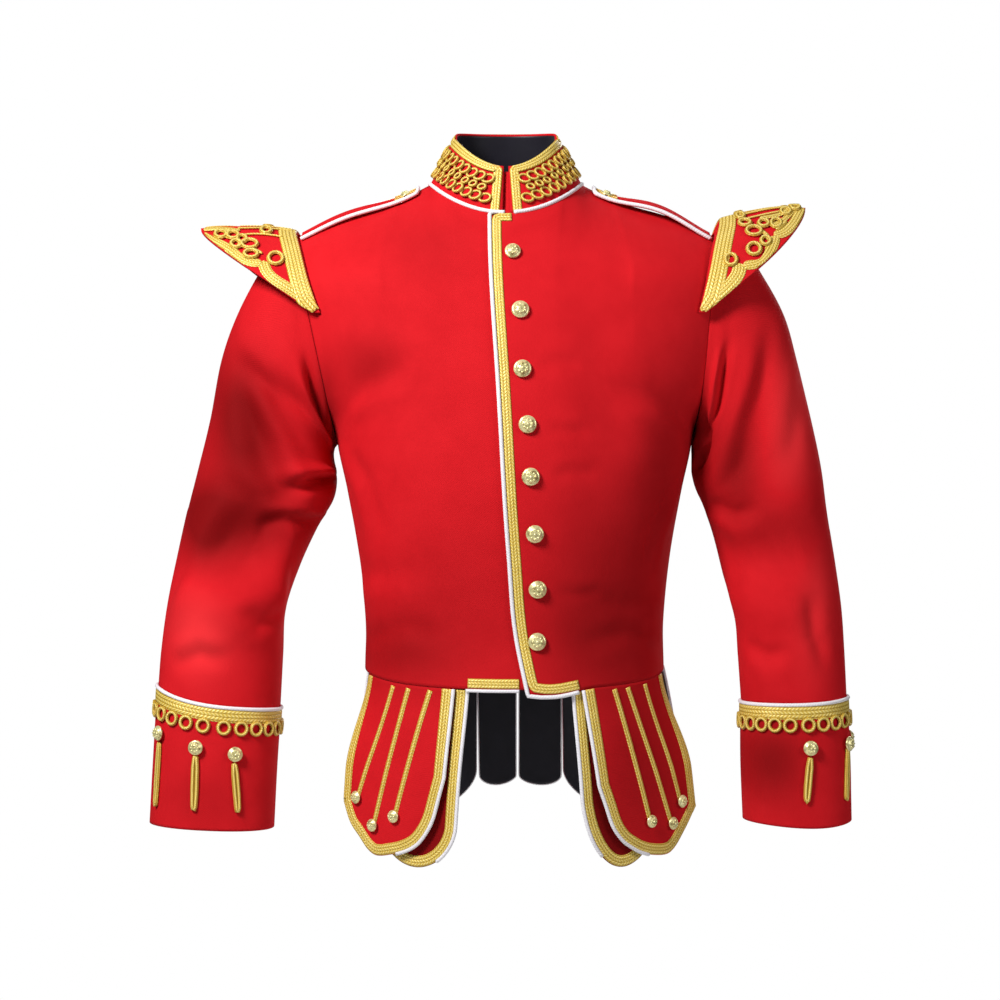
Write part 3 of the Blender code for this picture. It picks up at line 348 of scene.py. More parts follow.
@many
def collarPoint(degrees, height):
    isFront = np.abs(degrees) <= 90.0
    side = np.where(degrees > 0.0, 1, -1)
    across = neckCut["share"] * np.where(isFront, np.abs(degrees), 180.0 - np.abs(degrees)) / 90.0
    seam = lambda key, chosen: panelPoint(
        "front" if abs(key) == 1 else "back", np.sign(key), across[chosen], bodyCut["top"])
    base = inGroups(side * np.where(isFront, 1, 2), seam)
    forward = np.where(isFront, -1, 1)
    angle = np.radians(90.0) * across / neckCut["share"]
    out = joined(side * np.sin(angle), forward * np.cos(angle), 0.0 * angle)
    base += (-out * collarCut["tilt"] + np.array([0.0, 0.0, collarLevel])) * collarCut["seam"]
    cosine = np.abs(np.cos(np.radians(degrees)))
    pick = lambda key: np.where(isFront, collarCut[key]["front"], collarCut[key]["back"])
    z = collarCut["sideZ"] + pick("rise") * cosine ** pick("curve")
    top = joined(collarCut["halfWidth"] * np.sin(np.radians(degrees)), forward * pick("depth") * cosine, z)
    return mix(base, top, height[:, None])


@many
def collarNormal(degrees, height):
    angle = np.radians(degrees)
    return joined(collarLevel * np.sin(angle), -collarLevel * np.cos(angle), 0.0 * angle + collarCut["tilt"])


# ---- shoulder wings: station from back point (-1) to front point (1), out from armhole (0) to edge (1) ----

wingCut = {
    "reach": 0.113, "edge": 0.995, "inset": 0.115, "width": {"right": 0.098, "left": 0.092}, "pointWidth": 0.006,
    "rise": {"right": 0.004, "left": 0.015}, "drop": {"right": 0.007, "left": 0.013}, "spread": 0.012,
    "arch": {"right": 0.004, "left": 0.005}, "stand": {"right": 0.002, "left": 0.013}, "standOut": 0.08,
    "lift": 0.003,
}


def roomOf(name, station):
    return wingCut["width"][name] * (1.0 - np.abs(station) ** 1.45) + wingCut["pointWidth"]


@many
def wingPoint(name, station, out):
    side, reach = sideOf[name], np.abs(station)
    up = bodyCut["top"] - wingCut["reach"] * reach
    across = wingCut["edge"] - wingCut["inset"] * reach**1.6
    inner = seated(side, station >= 0.0, across, up, wingCut["lift"])
    rise = wingCut["rise"][name] * (1.0 - reach) - wingCut["drop"][name] * np.sin(np.pi * reach)
    spread = -np.copysign(wingCut["spread"] * np.sin(np.pi * reach), station)
    point = inner + joined(side * roomOf(name, station), spread, rise) * out[:, None]
    point[:, 2] += wingCut["arch"][name] * 4.0 * out * (1.0 - out) * (1.0 - reach)
    point[:, 2] += wingCut["stand"][name] * smoothStep(0.0, wingCut["standOut"], out) * (1.0 - reach)
    return point


@many
def wingNormal(name, station, out):
    station = np.where(np.abs(station) > 0.01, np.clip(station, -0.97, 0.97), 0.01)
    return normalsOf(wingPoint, (name,), station, out, sideOf[name])


# ---- shoulder straps: part from the neck (0) to the armhole (1), crosswise from front (-1) to back (1) ----

strapCut = {
    "start": 0.375, "end": 0.975, "halfWidth": 0.021, "arch": {"right": 0.003, "left": 0.008}, "lift": 0.0021,
}


@many
def strapPoint(name, part, crosswise):
    across = mix(strapCut["start"], strapCut["end"], part)
    up = bodyCut["top"] - np.abs(crosswise) * strapCut["halfWidth"] / (1.0 + 1.2 * (1.0 - part) ** 2)
    point = seated(sideOf[name], crosswise <= 0.0, across, up, strapCut["lift"])
    point[:, 2] += strapCut["arch"][name] * np.sin(np.pi * np.clip(part, 0.0, 1.0)) ** 2
    return point


@many
def strapNormal(name, part, crosswise):
    return normalsOf(strapPoint, (name,), np.clip(part, 0.02, 0.98), crosswise, sideOf[name], 0.02, 2.0)


# ---- skirt of tashes: crosswise over each from 0 to 1, down it from the waist seam (0) to its edge (1) ----

tashCut = {
    "seat": 0.0025, "layer": 0.004, "layerDrop": 0.005, "round": 0.55, "hang": 0.17,
    # the front tashes hang flatter than the waist: share, place they turn about, metres across, drop to full
    "flatten": 0.6, "flatAbout": 0.44, "flatReach": 0.235, "flatDrop": 0.1, "backReach": 0.215,
    # lengths of the outer front tashes at places across them
    "edgePlaces": (0.0, 0.03, 0.066, 0.13, 0.2, 0.3, 0.42, 0.58, 0.68, 0.78, 0.9, 1.0),
    "edgeLengths": {
        -1: (0.09, 0.1095, 0.1321, 0.15, 0.161, 0.169, 0.1745, 0.179, 0.1745, 0.1642, 0.152, 0.132),
        1: (0.098, 0.1165, 0.1392, 0.155, 0.1635, 0.1718, 0.1772, 0.1797, 0.1745, 0.1645, 0.1518, 0.1405),
    },
}
# half, side, start, end, side length, tip length, far length, shift, flare, layer
tashRows = {
    "front_right": ("front", -1, 0.223, 0.797, 0.09, 0.18, 0.132, 0.0122, 0.091, 0),
    "front_left": ("front", 1, 0.251, 0.824, 0.098, 0.18, 0.1405, 0.0256, 0.093, 0),
    "under_right": ("front", -1, 0.166, 0.56, 0.14, 0.185, 0.15, 0.0123, 0.051, 1),
    "under_left": ("front", 1, 0.211, 0.6, 0.108, 0.186, 0.15, 0.0125, 0.053, 1),
    "side_right": ("back", -1, 0.136, 0.88, 0.118, 0.17, 0.14, 0.014, 0.11, 0),
    "side_left": ("back", 1, 0.184, 0.985, 0.118, 0.17, 0.14, 0.02, 0.22, 0),
    "back_right": ("back", -1, -0.004, 0.13, 0.124, 0.134, 0.124, -0.003, 0.1, 0),
    "back_left": ("back", 1, 0.016, 0.178, 0.124, 0.134, 0.124, -0.001, 0.1, 0),
}


def tashLength(name, crosswise):
    half, side, start, end, sideLength, tipLength, farLength, shift, flare, layer = tashRows[name]
    if half == "front" and layer == 0:
        return numbersThrough(tashCut["edgePlaces"], tashCut["edgeLengths"][side], crosswise)
    share = np.maximum(0.0, 1.0 - (2.0 * crosswise - 1.0) ** 2) ** tashCut["round"]
    return mix(mix(sideLength, farLength, crosswise), tipLength, share)


# the waist seam with its directions outward and towards the outer edge
def waistFrame(half, side, across):
    out = panelNormal(half, side, across, 0.0)
    out[:, 2] = 0.0
    out = unit(out)
    aside = joined(-out[:, 1], out[:, 0], 0.0 * across) * side * halfSign[half]
    return panelPoint(half, side, across, 0.0), out, aside


@many
def tashPoint(name, crosswise, down):
    half, side, start, end, sideLength, tipLength, farLength, shift, flare, layer = tashRows[name]
    across = mix(start, end, crosswise)
    point, out, along = waistFrame(half, side, across)
    drop = tashLength(name, crosswise) * down
    inset = mix(tashCut["seat"], tashCut["layer"], smoothStep(0.0, tashCut["layerDrop"], drop)) * layer
    if half == "front":
        middle, ahead, aside = waistFrame(half, side, 0.0 * across + tashCut["flatAbout"])
        flat = middle + aside * ((across - tashCut["flatAbout"]) * tashCut["flatReach"])[:, None]
        flat[:, 2] = point[:, 2]
        part = (tashCut["flatten"] * smoothStep(0.0, tashCut["flatDrop"], drop))[:, None]
        point, out, along = mix(point, flat, part), unit(mix(out, ahead, part)), unit(mix(along, aside, part))
    else:
        shift = shift * crosswise
    point = point - out * inset[:, None]
    point[:, 2] -= drop + gap
    point += out * (flare * (drop - drop * drop / (2.0 * tashCut["hang"])))[:, None]
    return point + along * (shift * drop / tipLength)[:, None]


@many
def tashNormal(name, crosswise, down):
    sign = -tashRows[name][1] * halfSign[tashRows[name][0]]
    return normalsOf(tashPoint, (name,), np.clip(crosswise, 0.06, 0.94), np.minimum(down, 0.95), sign)


# ---- the photo's view, to place small ornaments where it shows them ----

photoView = {"x": -0.0064, "height": -0.332, "distance": 2.4, "width": 1.07, "pixels": 1000.0}


def toPixels(points):
    distance = photoView["distance"]
    scale = photoView["pixels"] / photoView["width"] * distance / (distance + points[:, 1])
    middle = photoView["pixels"] / 2.0
    across = middle + (points[:, 0] - photoView["x"]) * scale
    return joined(across, middle - (points[:, 2] - photoView["height"]) * scale)


def crossed(first, second):
    return first[:, 0] * second[:, 1] - first[:, 1] * second[:, 0]


# places on a surface that lie at the given pixels, within a range of its two numbers
def placesAt(surface, pixels, low, high, count=90):
    low, high = np.array(low), np.array(high)
    grid = joined(*np.meshgrid(*np.linspace(low, high, count).T)).reshape(-1, 2)
    seen = toPixels(surface(*grid.T))
    found = np.array([grid[np.argmin(((seen - pixel) ** 2).sum(axis=1))] for pixel in pixels])
    steps = (high - low) / count / 4.0
    for again in range(4):
        here = toPixels(surface(*found.T))
        first = (toPixels(surface(found[:, 0] + steps[0], found[:, 1])) - here) / steps[0]
        second = (toPixels(surface(found[:, 0], found[:, 1] + steps[1])) - here) / steps[1]
        miss = pixels - here
        area = crossed(first, second)
        area = np.where(np.abs(area) < 1e-6, 1e-6, area)
        move = joined(crossed(miss, second), crossed(first, miss)) / area[:, None]
        found = np.clip(found + np.clip(move, -8.0 * steps, 8.0 * steps), low, high)
    return found


print("shapes ready")


# ---- mesh tools ----

# a grid of faces in the layer "lay": work turns its flat corners (0 to 1) into points and places in metres
def addGrid(shape, columns, rows, work):
    layer = shape.loops.layers.uv.get("lay") or shape.loops.layers.uv.new("lay")
    verts = bmesh.ops.create_grid(shape, x_segments=columns, y_segments=rows, size=0.5)["verts"]
    flat = np.array([vert.co[:2] for vert in verts]) + 0.5
    points, places = work(flat)
    laid = dict(zip(verts, places))
    for face in {face for vert in verts for face in vert.link_faces}:
        for loop in face.loops:
            loop[layer].uv = laid[loop.vert]
    for vert, point in zip(verts, points):
        vert.co = point
    return verts, flat


# a band or cord along points: the section holds (across, out) offsets round it
def addRun(shape, points, normals, section, closed=False, spread=None):
    count, around = len(points), len(section)
    rows = count if closed else count - 1
    ahead = np.roll(points, -1, axis=0) - np.roll(points, 1, axis=0) if closed else np.gradient(points, axis=0)
    tangents = unit(ahead)
    sides = unit(np.cross(tangents, normals))
    ups = np.cross(sides, tangents)
    spread = np.ones(count) if spread is None else spread
    rings = points[:, None] + ups[:, None] * section[None, :, 1:]
    rings += sides[:, None] * section[None, :, :1] * spread[:, None, None]
    lengths = lengthsAlong(np.append(points, points[:1], axis=0))

    def work(flat):
        column, row = np.rint(flat * np.array([around, rows])).astype(int).T
        across = section[column % around, 0] * spread[row % count]
        return rings[row % count, column % around], joined(lengths[row], across)

    verts, flat = addGrid(shape, around, rows, work)
    bmesh.ops.remove_doubles(shape, verts=verts, dist=1e-7)
    if not closed:
        edges = {edge for vert in verts if vert.is_valid for edge in vert.link_edges if edge.is_boundary}
        bmesh.ops.holes_fill(shape, edges=list(edges), sides=0)


def roundTurns(steps):
    return np.arange(steps) * turn / steps


def bandSection(width, height, steps=10, lift=0.0):
    cosine = np.cos(np.linspace(0.0, np.pi, steps + 1))
    return joined(cosine * width / 2.0, lift + height * np.sqrt(1.0 - np.abs(cosine) ** 5))


def cordSection(radius, steps=6, lift=0.0):
    turns = roundTurns(steps)
    return joined(radius * np.cos(turns), lift + radius * (1.0 + np.sin(turns)))


# share of a band's width along it, so that its ends are round
def roundEnds(points, half):
    lengths = lengthsAlong(points)
    spread = np.ones(len(points))
    for distance in (lengths, lengths[-1] - lengths):
        spread *= np.sqrt(np.clip(1.0 - (1.0 - np.clip(distance / half, 0.0, 1.0)) ** 2, 0.02, 1.0))
    return spread


def readAt(wanted, places, values):
    return joined(*(np.interp(wanted, places, column) for column in values.T))


# even steps along a line of places on a surface
def stepsOn(surface, places, spacing=0.0025, closed=False, smooth=2):
    places = np.asarray(places, float)
    for again in range(smooth):  # cuts the corners
        here, after = (places, np.roll(places, -1, axis=0)) if closed else (places[:-1], places[1:])
        cut = np.stack([mix(here, after, 0.25), mix(here, after, 0.75)], axis=1).reshape(-1, 2)
        places = cut if closed else np.concatenate([places[:1], cut, places[-1:]])
    if closed:
        places = np.append(places, places[:1], axis=0)
    last = len(places) - 1
    dense = readAt(np.linspace(0.0, last, 12 * last + 1), np.arange(last + 1), places)
    lengths = lengthsAlong(surface(*dense.T))
    count = max(3, int(round(lengths[-1] / spacing)))
    return readAt(np.linspace(0.0, lengths[-1], count, endpoint=False) if closed
                  else np.linspace(0.0, lengths[-1], count + 1), lengths, dense)


# points and directions outward of a face, at one place or many, and along a line of places
def readFace(face, first, second):
    return [make(first, second) for make in face]


def runOn(face, places, spacing=0.0025, closed=False, smooth=2):
    return readFace(face, *stepsOn(face[0], places, spacing, closed, smooth).T)


# a closed ring of thread lying on a face, its length pointing ahead
def ringOn(face, place, ahead, halfLength, halfWidth, radius, lift=0.0):
    point, normal = (found[0] for found in readFace(face, *place))
    towards = face[0](*np.add(place, ahead))[0] - point
    along = unit(towards - normal * np.dot(towards, normal))
    turns = roundTurns(14)[:, None]
    points = point + normal * lift + along * halfLength * np.cos(turns)
    return points + np.cross(normal, along) * halfWidth * np.sin(turns), normal, cordSection(radius), True


# painted shade on the wool in soft spots (painted light where the amount is below nought): x, z, half sizes in mm,
# lean in degrees, amount
paintedShadeSpots = (
    (-276, -252, 44, 82, -12, 1), (-266, -356, 62, 40, -8, 0.6), (-320, -352, 34, 52, -10, 0.78),
    (-318, -470, 30, 40, -8, -1), (-316, -640, 50, 30, 0, 0.25), (-115, -488, 75, 42, 0, 0.6),
    (100, -482, 80, 64, 0, 0.6), (105, -390, 70, 75, 0, 0.4), (-140, -190, 36, 30, -8, 0.4),
    (-60, -420, 60, 60, 0, 0.22), (148, -610, 60, 70, 0, 0.45), (-80, -66, 50, 40, 0, 0.28),
    (166, -300, 28, 60, 0, 0.22), (168, -352, 30, 90, 0, 0.25), (242, -296, 28, 52, 10, 0.78),
    (284, -356, 42, 34, 0, 0.55), (274, -602, 40, 48, 0, 0.8), (203, -264, 15, 37, 0, 0.6),
    (-190, -228, 15, 37, 0, 0.5), (306, -236, 30, 90, 14, -0.85), (322, -440, 20, 70, 8, -0.4),
)
# painted shade added over all of each under tash, where the outer tashes shade it
underTashShade = 0.85  # the under tashes, in the shade of the outer ones


# painted shade and painted light from the spots above at each point, faded out towards the back
def paintedShadeAt(points):
    total = np.zeros(len(points))
    for *spot, lean, amount in paintedShadeSpots:
        x, z, wide, high = metres(spot)
        besides, up = points[:, 0] - x, points[:, 2] - z
        cosine, sine = math.cos(math.radians(lean)), math.sin(math.radians(lean))
        aside, along = (besides * cosine - up * sine) / wide, (besides * sine + up * cosine) / high
        total += amount * np.exp(-(aside**2 + along**2))
    return np.clip(total, -0.9, 0.9) * (1.0 - smoothStep(-0.02, 0.05, points[:, 1]))


def addObject(name, data, place=(0.0, 0.0, 0.0), turned=(0.0, 0.0, 0.0)):
    thing = bpy.data.objects.new(name, data)
    thing.location, thing.rotation_euler = place, turned
    bpy.context.scene.collection.objects.link(thing)
    return thing


def meshOf(name, shape, *finishes):
    for face in shape.faces:
        face.smooth = True
    mesh = bpy.data.meshes.new(name)
    shape.to_mesh(mesh)
    shape.free()
    for finish in finishes:
        mesh.materials.append(finish["material"])
    return mesh


# a piece of the doublet: its finish, one for the inside if need be, and the node that it takes the place of
def makePiece(name, shape, finish, node=None, inside=()):
    mesh = meshOf(name, shape, finish, *inside)
    # wool pieces carry their painted shade and painted light as a point attribute
    if finish is wool:
        nap = paintedShadeAt(np.array([vert.co for vert in mesh.vertices])) + (underTashShade if "under" in name else 0.0)
        mesh.attributes.new("nap", "FLOAT", "POINT").data.foreach_set("value", nap)
    piece = addObject(name, mesh)
    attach(piece, "root")
    if node:
        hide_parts(node)
    return piece


def makeTrim(name, finish, runs, node=None):
    shape = bmesh.new()
    for run in runs:
        addRun(shape, *run)
    bmesh.ops.recalc_face_normals(shape, faces=shape.faces)
    makePiece(name, shape, finish, node)


# columns, rows, metres wide and long, thickness
sheets = {
    "panel": (84, 132, (0.26, 0.5), 0.0016), "sleeve": (120, 170, (0.4, 0.45), 0.0016),
    "cuff": (96, 40, (0.37, 0.14), 0.0016), "collar": (144, 16, (0.44, 0.05), 0.0024),
    "tab": (10, 14, (0.02, 0.045), 0.0014), "wing": (96, 60, (0.26, 0.1), 0.0024),
    "strap": (60, 24, (0.14, 0.04), 0.0016), "tash": (56, 60, (0.11, 0.17), 0.0016),
}


def aroundMiddle(spot):
    return spot.x, spot.y, 0.0


def upward(spot):
    return 0.0, 0.0, 1.0


# a sheet of cloth with a wall, turned so that a face in its middle looks the way that outward gives
def makeCloth(name, kind, place, outward=aroundMiddle, inside=None, replaced=True, closed=False, ease=None):
    columns, rows, size, wall = sheets[kind]
    shape = bmesh.new()
    verts, flat = addGrid(shape, columns, rows, lambda flat: (place(*flat.T), flat * np.array(size)))
    if closed:
        bmesh.ops.remove_doubles(shape, verts=verts, dist=1e-6)
    if ease:
        ease(shape, verts, flat)
    shape.faces.ensure_lookup_table()
    shape.normal_update()
    face = shape.faces[len(shape.faces) // 2 + 3]
    if face.normal.dot(Vector(outward(face.calc_center_median()))) < 0.0:
        bmesh.ops.reverse_faces(shape, faces=shape.faces)
    inside = [inside] if inside else []
    piece = makePiece(f"{name}_cloth", shape, wool, name if replaced else None, inside)
    solid = piece.modifiers.new("Cloth wall", "SOLIDIFY")
    solid.thickness = wall
    solid.offset = -1.0
    solid.material_offset = len(inside)


# ---- creases: a line of places, its width and depth in millimetres, share of the ridge beside the trough ----

def creasesOn(rows, placesOf, scale=1.0):
    return [(placesOf(line) * np.array(scale), *metres((width, deep)), ridge) for line, width, deep, ridge in rows]


def creaseDepth(creases, first, second):
    depth = np.zeros(len(first))
    spots = joined(first, second)
    for line, width, deep, ridge in creases:
        starts = lengthsAlong(line)
        best = np.full(len(first), 1e9)
        signed, run = np.zeros((2, len(first)))
        for start, point, step in zip(starts, line, np.diff(line, axis=0)):
            length = np.linalg.norm(step)
            way = step / length
            t = np.clip((spots - point) @ way, 0.0, length)
            off = spots - point - t[:, None] * way
            distance = np.linalg.norm(off, axis=1)
            closer = distance < best
            best = np.where(closer, distance, best)
            signed = np.where(closer, np.copysign(distance, way[0] * off[:, 1] - way[1] * off[:, 0]), signed)
            run = np.where(closer, (start + t) / starts[-1], run)
        taper = smoothStep(-0.05, 0.3, run) * (1.0 - smoothStep(0.7, 1.05, run))
        trough = np.exp(-((signed / width) ** 2))
        beside = np.exp(-(((signed - 1.7 * width) / width) ** 2))
        depth += taper * deep * (ridge * beside - trough)
    return depth


print("mesh tools ready")


# ---- finishes ----

# a node's output that takes part in sums
class Wire:
    def __init__(self, finish, socket):
        self.finish, self.socket = finish, socket

    def __abs__(self):
        return self.finish.maths("ABSOLUTE", self)


def addSum(sign, operation):
    setattr(Wire, f"__{sign}__", lambda self, other: self.finish.maths(operation, self, other))
    setattr(Wire, f"__r{sign}__", lambda self, other: self.finish.maths(operation, other, self))


addSum("add", "ADD")
addSum("sub", "SUBTRACT")
addSum("mul", "MULTIPLY")
addSum("truediv", "DIVIDE")
addSum("mod", "FLOORED_MODULO")
addSum("pow", "POWER")


class Finish:
    def __init__(self, name, **values):
        self.material = bpy.data.materials.new(name)
        self.material.use_nodes = True
        self.tree = self.material.node_tree
        for name, value in values.items():
            self.feed(self.shaderInput(name), value)

    def shaderInput(self, name):
        named = name.replace("_", " ").title().replace("Ior", "IOR")
        return self.tree.nodes["Principled BSDF"].inputs[named]

    def feed(self, socket, value):
        if isinstance(value, Wire):
            self.tree.links.new(value.socket, socket)
        else:
            socket.default_value = value

    def node(self, kind, settings=None, out=0, **inputs):
        node = self.tree.nodes.new(kind)
        for key, value in (settings or {}).items():
            setattr(node, key, value)
        for key, value in inputs.items():
            self.feed(node.inputs[int(key[1:]) if key[1:].isdigit() else key], value)
        return Wire(self, node.outputs[out])

    def maths(self, operation, *values):
        inputs = {f"i{index}": value for index, value in enumerate(values)}
        return self.node("ShaderNodeMath", {"operation": operation}, **inputs)

    def waves(self, value):
        return self.maths("SINE", value * turn) * 0.5 + 0.5

    def noise(self, vector, scale, detail, roughness):
        return self.node("ShaderNodeTexNoise", Vector=vector, Scale=scale, Detail=detail, Roughness=roughness)

    def blend(self, factor, first, second):
        first = first if isinstance(first, Wire) else (*first, 1.0)
        settings = {"data_type": "RGBA", "clamp_factor": True}
        return self.node("ShaderNodeMix", settings, out=2, i0=factor, i6=first, i7=(*second, 1.0))

    def ramp(self, value, *stops):
        wire = self.node("ShaderNodeValToRGB", Fac=value)
        elements = wire.socket.node.color_ramp.elements
        elements.new(0.5)
        for element, (place, colour) in zip(elements, stops):
            element.position = place
            element.color = (*colour, 1.0)
        return wire

    def laid(self):  # metres along and across the piece
        vector = self.node("ShaderNodeUVMap", {"uv_map": "lay"})
        along = self.node("ShaderNodeSeparateXYZ", Vector=vector)
        return vector, along, Wire(self, along.socket.node.outputs[1])

    def done(self, slot, height, strength, distance, **values):
        values["normal"] = self.node("ShaderNodeBump", Height=height, Strength=strength, Distance=distance)
        for name, value in values.items():
            self.feed(self.shaderInput(name), value)
        return {"material": self.material, "slot": slot}


# the deep and bright reds are painted shade and painted light for the wool; the dark and light golds paint shade
# and highlight on the braid's relief
colours = {
    "red": (0.6, 0.0075, 0.013), "redDark": (0.5, 0.0045, 0.0085), "redLight": (0.67, 0.011, 0.017),
    "redDeep": (0.165, 0.0, 0.0006), "redBright": (0.86, 0.03, 0.036),
    "lining": (0.007, 0.006, 0.01), "liningLight": (0.016, 0.014, 0.024),
    "gold": (0.74, 0.5, 0.05), "goldDark": (0.27, 0.13, 0.014), "goldLight": (1.0, 0.83, 0.3),
    "white": (0.97, 0.96, 0.99), "whiteDark": (0.72, 0.69, 0.74),
    "brass": (0.78, 0.72, 0.34), "brassDark": (0.34, 0.26, 0.09), "brassLight": (0.95, 0.88, 0.52),
}


def makeWool():
    finish = Finish("red wool", roughness=0.8, sheen_weight=0.05, sheen_roughness=0.4, specular_ior_level=0.11,
                    sheen_tint=(1.0, 0.08, 0.1, 1.0))
    vector, along, across = finish.laid()
    mottle = finish.noise(vector, 26.0, 4.0, 0.6)
    fibre = finish.noise(vector, 900.0, 3.0, 0.7)
    twill = finish.waves((along + across) / 0.0021)
    tone = mottle * 0.45 + fibre * 0.45 + twill * 0.1
    colour = finish.ramp(tone, (0.25, colours["redDark"]), (0.5, colours["red"]), (0.75, colours["redLight"]))
    # painted shade and painted light from the spot attribute, mixed into the wool's colour
    nap = finish.node("ShaderNodeAttribute", {"attribute_name": "nap"}, out=2)
    colour = finish.blend(nap * -1.0, finish.blend(nap, colour, colours["redDeep"]), colours["redBright"])
    return finish.done("red_cloth", fibre * 0.6 + twill * 0.4 + mottle * 0.5, 0.35, 0.0006, base_color=colour)


def makeLining():
    finish = Finish("black satin lining", roughness=0.48, sheen_weight=0.1, specular_ior_level=0.35)
    vector = finish.laid()[0]
    weave = finish.noise(vector, 700.0, 2.0, 0.6)
    slub = finish.noise(vector, 30.0, 3.0, 0.5)
    colour = finish.blend(slub, colours["lining"], colours["liningLight"])
    return finish.done("red_cloth", weave * 0.4 + slub, 0.25, 0.0008, base_color=colour)


# plaited wire: strands side by side whose threads slant one way and the other
def makeBraid(name, strand, pitch):
    finish = Finish(name, metallic=0.14, specular_ior_level=0.6)
    vector, along, across = finish.laid()
    place = across / strand + 0.5
    threads = finish.waves(along / pitch + abs(place % 2.0 - 1.0))
    groove = 1.0 - abs(place % 1.0 * 2.0 - 1.0) ** 3.0
    grain = finish.noise(vector, 520.0, 3.0, 0.7)
    height = groove * (0.45 + threads * 0.55)
    # colour follows the relief, with random grain: painted shade in the grooves between strands, painted highlight
    # on the threads' crests
    tone = height * 0.62 + grain * 0.28 + finish.noise(vector, 60.0, 2.0, 0.5) * 0.16
    colour = finish.ramp(tone, (0.16, colours["goldDark"]), (0.52, colours["gold"]), (0.86, colours["goldLight"]))
    rough = 0.52 - threads * 0.16
    return finish.done("gold_braid", height + grain * 0.3, 0.8, 0.0007, base_color=colour, roughness=rough)


def makeWhiteCord():
    finish = Finish("white cord", roughness=0.66, sheen_weight=0.2, specular_ior_level=0.3)
    vector, along, across = finish.laid()
    twist = finish.waves(along / 0.0028 + across / 0.004)
    tone = twist * 0.35 + finish.noise(vector, 40.0, 3.0, 0.6) * 0.65
    colour = finish.blend(tone, colours["whiteDark"], colours["white"])
    return finish.done("white_piping", twist, 0.5, 0.0003, base_color=colour)


def makeBrass():
    finish = Finish("polished brass", metallic=0.45)
    point = finish.node("ShaderNodeTexCoord", out=3)
    wear = finish.noise(point, 210.0, 4.0, 0.6)
    relief = finish.noise(point, 520.0, 2.0, 0.5)
    stops = (0.3, colours["brassDark"]), (0.46, colours["brass"]), (0.75, colours["brassLight"])
    colour = finish.ramp(wear, *stops)
    return finish.done("brass", relief, 0.35, 0.0006, base_color=colour, roughness=0.18 + wear * 0.26)


wool = makeWool()
lining = makeLining()
flatBraid = makeBraid("flat gold braid", 0.0032, 0.0034)
broadBraid = makeBraid("broad gold braid", 0.0038, 0.004)
goldThread = makeBraid("gold cord", 0.003, 0.0022)
whiteCord = makeWhiteCord()
brass = makeBrass()
print("finishes ready")


# ---- body panels ----

panelMake = {
    "easing": 60, "easedReach": 0.16, "easedUp": (0.7, 0.995), "cornerCut": 0.006, "backSeam": (0.012, 0.455),
}
# on the fronts as pixels of the photo, on the back as millimetres from the centre and up
panelCreases = {
    "right": (
        (((346, 398), (376, 376), (418, 366)), 16, 3.6, 0.6), (((344, 440), (366, 480), (384, 545)), 16, 3.4, 0.5),
        (((362, 560), (392, 574), (436, 568)), 14, 2.4, 0.4), (((366, 640), (405, 626), (455, 636)), 12, 2.6, 0.4),
        (((455, 290), (446, 380), (450, 470)), 26, 2.6, 0.3), (((380, 300), (400, 330), (410, 372)), 20, 2, 0.3),
    ),
    "left": (
        (((688, 424), (655, 398), (608, 384)), 16, 3.6, 0.6), (((678, 476), (655, 520), (640, 580)), 16, 3.4, 0.5),
        (((662, 592), (625, 606), (580, 598)), 14, 2.6, 0.4), (((660, 636), (628, 630), (575, 642)), 12, 2.4, 0.4),
        (((600, 290), (608, 390), (600, 480)), 26, 2.6, 0.3), (((536, 368), (558, 362), (584, 364)), 7, 1.2, 0.5),
        (((545, 425), (566, 432), (592, 431)), 7, 1.3, 0.5), (((549, 478), (570, 472), (600, 474)), 7, 1.2, 0.5),
        (((553, 588), (574, 596), (604, 592)), 7, 1.3, 0.5),
    ),
    "back": (
        (((150, 270), (115, 300), (60, 310)), 16, 2.4, 0.5), (((190, 215), (130, 190), (70, 180)), 15, 2, 0.5),
        (((200, 60), (140, 50), (80, 62)), 12, 1.8, 0.4), (((50, 420), (40, 340), (45, 250)), 20, 1.4, 0.3),
    ),
}


def panelStart(half, name, up):
    if half == "back":
        return np.zeros(len(up))
    edge = frontEdgeX(up)
    return acrossAt("front", edge if name == "left" else -edge - lapCut["under"], up)


# the seams stand a little apart
def seamShift(half, side, across, up):
    atSide = (np.abs(across) > 0.999) & (up <= bodyCut["armpit"] + 0.001)
    atShoulder = (up > bodyCut["top"] - 0.001) & (across >= neckCut["share"] - 0.001)
    low, high = panelMake["backSeam"]
    atBack = (half == "back") & (across < 0.001) & (up > low) & (up < high)
    return joined(atBack * side, (atSide | atShoulder) * -halfSign[half], 0.0 * up) * gap / 2.0


